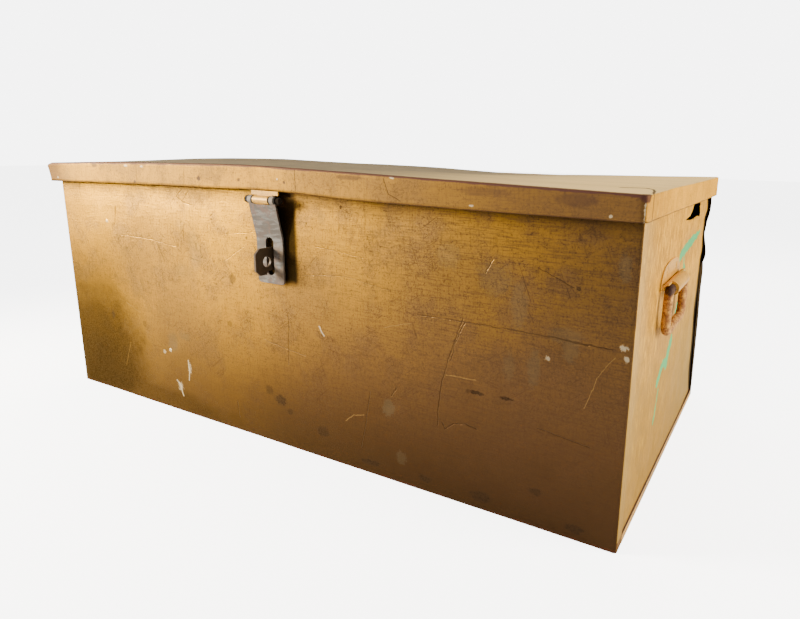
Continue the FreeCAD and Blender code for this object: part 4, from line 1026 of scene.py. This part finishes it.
def back_panel():
    """The wrapped back sheet and its hem, with painted shade inside the sprung flange of its right end."""
    points, normals = panel_path(1, BACK_RETURN)
    heights = spread(0.0, RIM, 4 * MM)
    main = shell(*sheet_from_path(points, normals, heights, back_swell, back_shift))
    hem_x = spread(BODY_LEFT + 5 * MM, BODY_RIGHT - 8 * MM, 6 * MM)
    hem = hem_strip(hem_x, lambda x, z: BACK - GAUGE + back_swell(x, np.full_like(x, BACK), z), -1)
    vertices, faces = join_shells([main, hem])
    paints = [PAINT_BACK, PAINT_LEFT, PAINT_RIGHT, SHADOWED, PRIMER]
    piece = new_object("back_sheet", vertices, faces, "case", paints)
    paint_inside(piece, inward_of_case, -0.3)
    # Near the ends, edge and side faces take the end paints, and inward faces the painted shade.
    for polygon in piece.data.polygons:
        near_end = abs(polygon.center.x) > BODY_RIGHT - 16 * MM
        if near_end and polygon.normal.y < -0.6 and polygon.center.y < BACK - BACK_RETURN + 1 * MM:
            polygon.material_index = 1 + (polygon.center.x > 0)
        elif polygon.material_index == 4 and near_end:
            polygon.material_index = 3
        elif near_end and (abs(polygon.normal.x) > 0.6 or polygon.normal.y < -0.3):
            polygon.material_index = 1 + (polygon.center.x > 0)
    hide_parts("back_panel")


# The torn opening of the right end, as (Y, Z) in mm, from its front tip along the top and back below.
TEAR = [
    (-8, 264), (18, 266.5), (34, 272), (42, 279), (46, 288), (88, 288), (86, 281), (92, 273),
    (91, 265), (86, 260), (66, 262.5), (40, 261.5), (16, 262),
]
END_BUCKLE = ripples(21, 24, 0.30, 0.045)


def rear_push(y, z):
    """How far the right end is knocked in near its rear edge, along X."""
    return step(y, PUSH_START, PUSH_FULL) * np.maximum(curve_through(z, END_PUSH), PUSH_MOST) * MM


def end_swell(y, z, side):
    """Waves in an end sheet. The right one is pushed in along its rear edge, below the torn opening."""
    calm = step(END_HALF - np.abs(y), 2 * MM, 30 * MM) * step(z, END_LOW, 0.03)
    rise = calm * END_BUCKLE(y * side, z) * 1.0 * MM
    if side > 0:
        rise = rise + rear_push(y, z)
        torn = np.exp(-(((y - 0.05) / 0.055) ** 2) - ((z - 0.258) / 0.014) ** 2)
        rise = rise + torn * 1.6 * MM
        rise = rise + dent(y, z, (0.035, 0.215), 0.035, 1.6 * MM) + dent(y, z, (0.10, 0.245), 0.03, -1.5 * MM)
    return rise


def clean_cut(name, vertices, faces, cutter):
    """The mesh less a cutter, both closed."""
    body = link(name, solid_mesh(name, vertices, faces))
    tool = link(f"{name}_cutter", solid_mesh(f"{name}_cutter", *cutter))
    modifier = body.modifiers.new("cut", "BOOLEAN")
    modifier.operation = "DIFFERENCE"
    modifier.solver = "EXACT"
    modifier.object = tool
    bpy.context.view_layer.update()
    result = bpy.data.meshes.new_from_object(body.evaluated_get(bpy.context.evaluated_depsgraph_get()))
    points = [tuple(v.co) for v in result.vertices]
    quads = [tuple(p.vertices) for p in result.polygons]
    for item in (body, tool):
        bpy.data.objects.remove(item)
    return points, quads


def end_panel(side):
    """The left (-1) or right (1) end: a waved sheet with a hem, torn open on the right."""
    hand = "right" if side > 0 else "left"
    y = spread(-END_HALF, END_HALF, 3.5 * MM)
    z = spread(END_LOW, RIM, 3.5 * MM)
    yy, zz = np.meshgrid(y, z, indexing="ij")
    outer = np.stack([np.full_like(yy, side * END_FACE), yy, zz], -1)
    inner = np.stack([np.full_like(yy, side * (END_FACE - GAUGE)), yy, zz], -1)
    vertices, faces = shell(outer, inner)
    if side > 0:
        ring = [(u * MM, v * MM) for u, v in TEAR]
        count = len(ring)
        points = [(x, u, v) for x in (END_FACE - 0.01, END_FACE + 0.01) for u, v in ring]
        quads = [tuple(range(count)), tuple(range(2 * count - 1, count - 1, -1))]
        quads += [(i, (i + 1) % count, count + (i + 1) % count, count + i) for i in range(count)]
        vertices, faces = clean_cut("end_blank", vertices, faces, (points, quads))
    points = np.array(vertices)
    points[:, 0] += side * end_swell(points[:, 1], points[:, 2], side)
    parts = [(points, faces)]
    hem_y = spread(-END_HALF + 2 * MM, END_HALF - 14 * MM, 6 * MM)
    hem_z = RIM - np.array([8.5, 8.0, 4.0, 1.2, 0.3, 0.0]) * MM
    yy, zz = np.meshgrid(hem_y, hem_z, indexing="ij")
    base = side * (END_FACE - GAUGE + end_swell(yy, zz, side))
    near = np.stack([base + side * 0.02 * MM, yy, zz], -1)
    far = np.stack([base - side * HEM_DEPTH, yy, zz], -1)
    parts.append(shell(far, near))
    vertices, faces = join_shells(parts)
    paint = PAINT_RIGHT if side > 0 else PAINT_LEFT
    piece = new_object(f"end_sheet_{hand}", vertices, faces, "case", [paint, PRIMER])
    paint_inside(piece, lambda centre, normal: normal.x * side, 0.0)
    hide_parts(f"end_panel_{hand}")


def tray_rail_right():
    """The right rail, bent in with the end panel it is fixed to. Slices let it bend."""
    work = bmesh.new()
    work.from_mesh(NODES["tray_rail_right"].data)
    rail_height = np.mean(ends("tray_rail_right", 2))
    for y in spread(PUSH_START, PUSH_FULL + 6 * MM, 8 * MM):
        geometry = work.verts[:] + work.edges[:] + work.faces[:]
        bmesh.ops.bisect_plane(work, geom=geometry, plane_co=(0, y, 0), plane_no=(0, 1, 0))
    vertices = [tuple(v.co) for v in work.verts]
    work.verts.index_update()
    faces = [tuple(v.index for v in face.verts) for face in work.faces]
    work.free()
    points = np.array(vertices)
    points[:, 0] += rear_push(points[:, 1], np.full(len(points), rail_height))
    points[:, 0] -= 0.2 * MM * step(points[:, 1], PUSH_START - 15 * MM, PUSH_START + 15 * MM)
    piece = new_object("rail_bent_right", points, faces, "case", [PRIMER])
    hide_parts("tray_rail_right")


# ---------------------------------------------------------------- lid

# Height of the lid above the flat pan: along its front fold, its rear fold and its front lip by X, and along
# the lip of its right end by Y. Places are in metres and heights in mm.
LID_FRONT_RISE = [
    (-0.387, 0.0), (-0.294, 3.1), (-0.142, 6.2), (-0.03, 7.4),
    (0.089, 5.2), (0.199, 2.6), (0.291, 0.4), (0.384, -1.9),
]
LID_BACK_RISE = [(-0.387, 3.2), (-0.25, 1.4), (-0.06, -0.9), (0.137, -6.0), (0.227, -3.7), (0.384, 0.0)]
LID_LIP_RISE = [
    (-0.387, 0.0), (-0.199, 3.7), (-0.063, 5.4), (-0.008, 6.2),
    (0.05, 5.2), (0.1, 3.3), (0.209, 1.7), (0.384, 1.1),
]
LID_END_RISE = [(-0.212, 0.9), (-0.117, 0.7), (-0.007, -0.2), (0.106, -0.2), (0.206, 0.0)]
LID_BUCKLE = ripples(31, 26, 0.36, 0.05)
LID_MIDDLE = (LID_LOW.x + LID_HIGH.x) / 2
LID_HALF = (LID_HIGH.x - LID_LOW.x) / 2
# Radius of the lid's corners in plan, and of its fold in section.
LID_ROUND = 6 * MM
LID_FOLD = 1.8 * MM
# Where, along Y, the tab of the front flange ends on both ends of the lid.
TAB_END = -193.5 * MM


def lid_rise(x, y, z):
    """How far a point of the flat pan is lifted by the warp of the real lid."""
    rear = step(y, LID_LOW.y + 0.01, LID_HIGH.y - 0.02)
    top = (1 - rear) * curve_through(x, LID_FRONT_RISE) + rear * curve_through(x, LID_BACK_RISE)
    top = top + 3.2 * step(x, -0.20, -0.38) * np.sin(math.pi * step(y, LID_LOW.y, 0.30))
    low_front = curve_through(x, LID_LIP_RISE)
    low_end = curve_through(y, LID_END_RISE) * step(x, 0.0, 0.38) - 0.6 * step(x, 0.0, -0.38) * rear
    at_front = step(y, -0.17, -0.205)
    low = at_front * low_front + (1 - at_front) * low_end
    share = step(z, LID_LOW.z, LID_HIGH.z)
    return (share * top + (1 - share) * low) * MM


def lid_outline(xs, ys):
    """Plan of the lid inside its rounded edge: seats all the way round, and the way outward from each."""
    sides = (
        [(x, ys[0]) for x in xs],
        [(xs[-1], y) for y in ys],
        [(x, ys[-1]) for x in xs[::-1]],
        [(xs[0], y) for y in ys[::-1]],
    )
    seats, ways = [], []
    for k, side in enumerate(sides):
        begin = (k - 1) * math.pi / 2
        seats += side
        ways += [(round(math.cos(begin)), round(math.sin(begin)))] * len(side)
        for angle in np.linspace(begin, begin + math.pi / 2, 8)[1:-1]:
            seats.append(side[-1])
            ways.append((math.cos(angle), math.sin(angle)))
    return seats, ways


def lid_section(inset):
    """Section of the sheet, as reach and height: up the flange, over the fold and onto the flat."""
    top = LID_HIGH.z
    straight = LID_ROUND - LID_FOLD
    bend = LID_FOLD - inset
    section = [(LID_ROUND - inset, z) for z in spread(LID_LOW.z, top - LID_FOLD, 2.6 * MM)]
    for angle in np.linspace(0, math.pi / 2, 6)[1:]:
        section.append((straight + bend * math.cos(angle), top - LID_FOLD + bend * math.sin(angle)))
    return section + [(reach, top - inset) for reach in np.linspace(straight, 0, 4)[1:]]


def lid_side(inset, xs, ys):
    """Vertices and faces of one side of the sheet: rings round the flange and a grid over the flat top."""
    seats, ways = lid_outline(xs, ys)
    section = lid_section(inset)
    points = []
    for reach, height in section:
        points += [(cx + reach * wx, cy + reach * wy, height) for (cx, cy), (wx, wy) in zip(seats, ways)]
    faces = grid_faces(len(section), len(seats), closed=True)
    faces += grid_faces(len(ys), len(xs), len(points))
    points += [(x, y, LID_HIGH.z - inset) for y in ys for x in xs]
    return points, faces, len(seats)


def warped(flat):
    """The points of the flat pan moved to the shape of the real lid."""
    x, y, z = flat.T
    lip, top = LID_LOW.z, LID_HIGH.z
    points = flat.copy()
    # The tab of the front flange laps round onto both ends.
    lap = step(y, TAB_END + 2 * MM, TAB_END - 2 * MM)
    lap = lap * step(np.abs(x - LID_MIDDLE), LID_HALF - 5.1 * MM, LID_HALF - 1.1 * MM)
    points[:, 0] += np.sign(x) * lap * 0.5 * MM
    # The left front corner is splayed and rounded over, and the right rear corner stands out a little.
    share = step(z, lip, top)
    left_front = step(x, LID_LOW.x + 22 * MM, LID_LOW.x + 2 * MM)
    left_front = left_front * step(y, LID_LOW.y + 90 * MM, LID_LOW.y + 6 * MM)
    right_rear = step(x, LID_HIGH.x - 22 * MM, LID_HIGH.x - 2 * MM)
    right_rear = right_rear * step(y, -0.05, LID_HIGH.y - 10 * MM)
    points[:, 0] += (right_rear * 2.0 - left_front * (5.6 + 4.6 * share)) * MM
    droop = left_front * step(x, LID_LOW.x + 12 * MM, LID_LOW.x) * step(z, top - 9 * MM, top)
    points[:, 2] += lid_rise(x, y, z) - droop * 3.4 * MM
    buckle = LID_BUCKLE(x, y) * 0.7 * MM
    points[:, 2] += buckle * step(z, top - 3 * MM, top - 1 * MM) * step(y, LID_LOW.y, LID_LOW.y + 0.03)
    front_face = step(y, LID_LOW.y + 3 * MM, LID_LOW.y + 1.5 * MM)
    points[:, 1] -= front_face * LID_BUCKLE(x * 2, z) * 0.45 * MM * step(top - z, 0, 6 * MM)
    return points


def lid_pan():
    """The lid's sheet, closed along its lip, with the masks that its paint reads."""
    xs = spread(LID_LOW.x + LID_ROUND, LID_HIGH.x - LID_ROUND, 4 * MM)
    ys = spread(LID_LOW.y + LID_ROUND, LID_HIGH.y - LID_ROUND, 4 * MM)
    outer, outer_faces, ring = lid_side(0.0, xs, ys)
    inner, inner_faces, ring = lid_side(GAUGE, xs, ys)
    count = len(outer)
    faces = outer_faces + [tuple(count + i for i in reversed(f)) for f in inner_faces]
    faces += [((i + 1) % ring, i, count + i, count + (i + 1) % ring) for i in range(ring)]
    flat = np.array(outer + inner)
    points = warped(flat)
    piece = new_object("lid_sheet", points, faces, "lid", [PAINT_LID, PRIMER])
    x, y, z = flat.T
    masks = {
        "fold": lid_fold_mask(x, y, z),
        "lip": 1 - step(z, LID_LOW.z, LID_LOW.z + 3 * MM),
        "seam": lid_seam_mask(x, y),
        "chips_and_highlight": lid_chip_and_highlight_mask(x, y, z),
    }
    add_masks(piece, points, masks)
    paint_inside(piece, inward_of_lid, -0.3)
    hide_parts("lid_pan")


def inward_of_lid(centre, normal):
    """Negative on the underside and on the inner faces of the flange."""
    if abs(normal.z) > 0.5:
        return normal.z if centre.z > LID_HIGH.z - 14 * MM else 0.0
    across = centre.x - LID_MIDDLE
    deep = centre.y - (LID_LOW.y + LID_HIGH.y) / 2
    if abs(normal.x) > abs(normal.y):
        return normal.x * math.copysign(1, across)
    return normal.y * math.copysign(1, deep)


def lid_fold_mask(x, y, z):
    """1 on the worn front fold, less along the ends close to the front corners."""
    near_top = np.exp(-(((z - LID_HIGH.z + 0.6 * MM) / (1.9 * MM)) ** 2))
    to_front = np.exp(-(((y - LID_LOW.y) / (4.2 * MM)) ** 2))
    edge_x = np.minimum(LID_HIGH.x - x, x - LID_LOW.x)
    to_end = np.exp(-((edge_x / (3.5 * MM)) ** 2)) * step(y, -0.12, LID_LOW.y) * 0.55
    corner = np.exp(-((np.hypot(LID_HIGH.x - x, y - LID_LOW.y) / (9 * MM)) ** 2))
    corner = corner * step(z, LID_HIGH.z - 16 * MM, LID_HIGH.z)
    return np.maximum(np.maximum(near_top * np.maximum(to_front, to_end), corner * 0.9), 0)


def lid_chip_and_highlight_mask(x, y, z):
    """Where white undercoat and a painted highlight show: both front corners, and here and there on the end's
    top fold.
    """
    edge_x = np.minimum(LID_HIGH.x - x, x - LID_LOW.x)
    corner = step(edge_x, 4.2 * MM, 2.2 * MM) * step(y, LID_LOW.y + 2.2 * MM, LID_LOW.y + 0.8 * MM)
    corner = corner * step(z, LID_HIGH.z - 3 * MM, LID_HIGH.z - 7 * MM) * 0.85
    fold = step(edge_x, 3.0 * MM, 0.8 * MM) * np.exp(-(((z - LID_HIGH.z) / (2.2 * MM)) ** 2)) * 0.45
    return np.maximum(corner, fold * step(y, LID_LOW.y + 0.004, LID_LOW.y + 0.02))


def lid_seam_mask(x, y):
    """The dark line down each end flange where the tab of the front flange ends."""
    edge_x = np.minimum(LID_HIGH.x - x, x - LID_LOW.x)
    return np.exp(-(((y - TAB_END) / (1.5 * MM)) ** 2)) * step(edge_x, 3 * MM, 0.5 * MM)


def add_masks(piece, points, masks):
    """Store masks on the vertices, matched by place because doubles were removed."""
    found = {tuple(np.round(p, 6)): i for i, p in enumerate(np.asarray(points, np.float32).astype(float))}
    order = []
    for vertex in piece.data.vertices:
        order.append(found.get(tuple(np.round(np.array(vertex.co), 6)), 0))
    for name, values in masks.items():
        layer = piece.data.attributes.new(name, "FLOAT", "POINT")
        layer.data.foreach_set("value", np.asarray(values, np.float32)[order])


# ---------------------------------------------------------------- CAD pieces that keep their shape

def dress(node, material, bevel):
    """Give a CAD node its material, edges softened by a bevel in mm, and smooth shading."""
    item = NODES[node]
    item.data.materials.clear()
    item.data.materials.append(material)
    if bevel:
        soften = item.modifiers.new("soft_edges", "BEVEL")
        soften.width = bevel * MM
        soften.segments = 2
        soften.limit_method = "ANGLE"
        soften.angle_limit = math.radians(40)
        soften.harden_normals = False
    item.data.polygons.foreach_set("use_smooth", [True] * len(item.data.polygons))
    flow = item.modifiers.new("even_normals", "WEIGHTED_NORMAL")
    flow.keep_sharp = False


def dress_all():
    """Materials and softened edges for every CAD node that keeps its shape."""
    for hand in ("left", "right"):
        dress(f"handle_{hand}_hood", PAINT_SMALL, 0.5)
        dress(f"handle_{hand}_bail", ROD, 0)
        dress(f"handle_{hand}_rivets", PAINT_SMALL, 0.15)
        dress(f"handle_{hand}_backing", PRIMER, 0.3)
        dress(f"hinge_{hand}_case_leaf", PAINT_BACK, 0.25)
        dress(f"hinge_{hand}_lid_leaf", PAINT_BACK, 0.25)
        dress(f"hinge_{hand}_pin", PIN, 0.2)
        dress(f"tray_divider_{hand}", PAINT_TRAY, 0.25)
        dress(f"tray_clips_{hand}", ZINC, 0.5)
        dress(f"tray_grip_{hand}", ZINC, 0)
    dress("tray_rail_left", PRIMER, 0.4)
    dress("base_pan", PAINT_BACK, 0.3)
    NODES["base_pan"].data.materials.append(PRIMER)
    for polygon in NODES["base_pan"].data.polygons:
        polygon.material_index = int(polygon.normal.z > 0.7)
    dress("hinge_case_rivets", PAINT_BACK, 0.15)
    dress("hinge_lid_rivets", PAINT_BACK, 0.15)
    dress("hasp_fixed_leaf", PAINT_SMALL, 0.3)
    dress("hasp_pin", PIN, 0.4)
    dress("hasp_strap", STEEL, 0.35)
    dress("staple", DARK, 0.35)
    dress("staple_rivets", DARK, 0.15)
    dress("tray_pan", PAINT_TRAY, 0.3)


# ---------------------------------------------------------------- camera, light and floor

ROOM_LIGHT = 0.30
BACKDROP = 6.2
FLOOR_GLOW = 5.0
SENSOR, LENS = 36.0, 27.063
SHIFT_X, SHIFT_Y = -0.07725, -0.02575
EYE = (0.4749, -0.6574, 0.3286)
AZIMUTH, ELEVATION, ROLL = 0.498, 0.226, 0.021
WARM_LAMP = (1.0, 0.94, 0.82)
FLOOR_REACH = 9
FLOOR_DROP = 0.4 * MM


def look(azimuth, elevation, roll):
    """Right, up and back vectors of a camera that looks along an azimuth, down by an elevation."""
    level = math.cos(elevation)
    ahead = Vector((-math.sin(azimuth) * level, math.cos(azimuth) * level, -math.sin(elevation)))
    right = ahead.cross(Vector((0, 0, 1))).normalized()
    up = right.cross(ahead)
    return (
        right * math.cos(roll) + up * math.sin(roll),
        -right * math.sin(roll) + up * math.cos(roll),
        -ahead,
    )


def add_camera():
    data = bpy.data.cameras.new("camera")
    data.sensor_width = SENSOR
    data.lens = LENS
    data.shift_x = SHIFT_X
    data.shift_y = SHIFT_Y
    camera = link("camera", data)
    turn = Matrix(look(AZIMUTH, ELEVATION, ROLL)).transposed()
    camera.matrix_world = Matrix.Translation(EYE) @ turn.to_4x4()
    bpy.context.scene.camera = camera


def area_light(name, place, aim, width, height, power, colour, beam=180):
    data = bpy.data.lights.new(name, "AREA")
    data.shape = "RECTANGLE"
    data.size = width
    data.size_y = height
    data.energy = power
    data.color = colour
    data.spread = math.radians(beam)
    lamp = link(name, data)
    lamp.location = place
    lamp.rotation_euler = (Vector(place) - Vector(aim)).to_track_quat("Z", "Y").to_euler()


def add_light():
    """A narrow key from the left front, softboxes to the right and overhead, and a white room."""
    world = bpy.data.worlds.new("studio")
    bpy.context.scene.world = world
    world.use_nodes = True
    world.node_tree.nodes.clear()
    g = Graph(world.node_tree)
    ray = g.add("ShaderNodeLightPath").outputs["Is Camera Ray"]
    room = g.add("ShaderNodeBackground", {"Color": (1.0, 0.98, 0.95, 1), "Strength": ROOM_LIGHT})
    backdrop = g.add("ShaderNodeBackground", {"Color": (1, 1, 1, 1), "Strength": BACKDROP})
    both = g.add("ShaderNodeMixShader", (ray, room.outputs[0], backdrop.outputs[0]))
    g.add("ShaderNodeOutputWorld", {"Surface": both.outputs[0]})
    area_light("key_left", (-1.25, -0.90, 0.62), (-0.22, -0.2, 0.26), 0.5, 0.5, 24, WARM_LAMP, 75)
    area_light("side_right", (1.75, 0.15, 0.75), (0.38, 0.0, 0.18), 0.8, 0.8, 56, WARM_LAMP)
    area_light("overhead", (-0.1, 0.9, 1.7), (0.0, 0.0, 0.3), 1.4, 0.9, 26, (1.0, 0.99, 0.97))


def add_floor():
    """A pale floor just below the chest. Its glow is seen by the camera only."""
    corners = ((-1, -1), (1, -1), (1, 1), (-1, 1))
    vertices = [(x * FLOOR_REACH, y * FLOOR_REACH, -FLOOR_DROP) for x, y in corners]
    mesh = bpy.data.meshes.new("floor")
    mesh.from_pydata(vertices, [], [(0, 1, 2, 3)])
    material, g = new_material("floor_white")
    ray = g.add("ShaderNodeLightPath").outputs["Is Camera Ray"]
    inputs = {"Base Color": rgb(0.90, 0.90, 0.89), "Roughness": 0.9, "Emission Color": rgb(1, 1, 1)}
    inputs["Emission Strength"] = g.multiply(ray, FLOOR_GLOW)
    surface = g.add("ShaderNodeBsdfPrincipled", inputs)
    g.add("ShaderNodeOutputMaterial", {"Surface": surface.outputs[0]})
    mesh.materials.append(material)
    floor = link("floor", mesh)


# ---------------------------------------------------------------- the whole scene

add_camera()
add_light()
add_floor()
front_panel()
back_panel()
end_panel(-1)
end_panel(1)
tray_rail_right()
lid_pan()
dress_all()
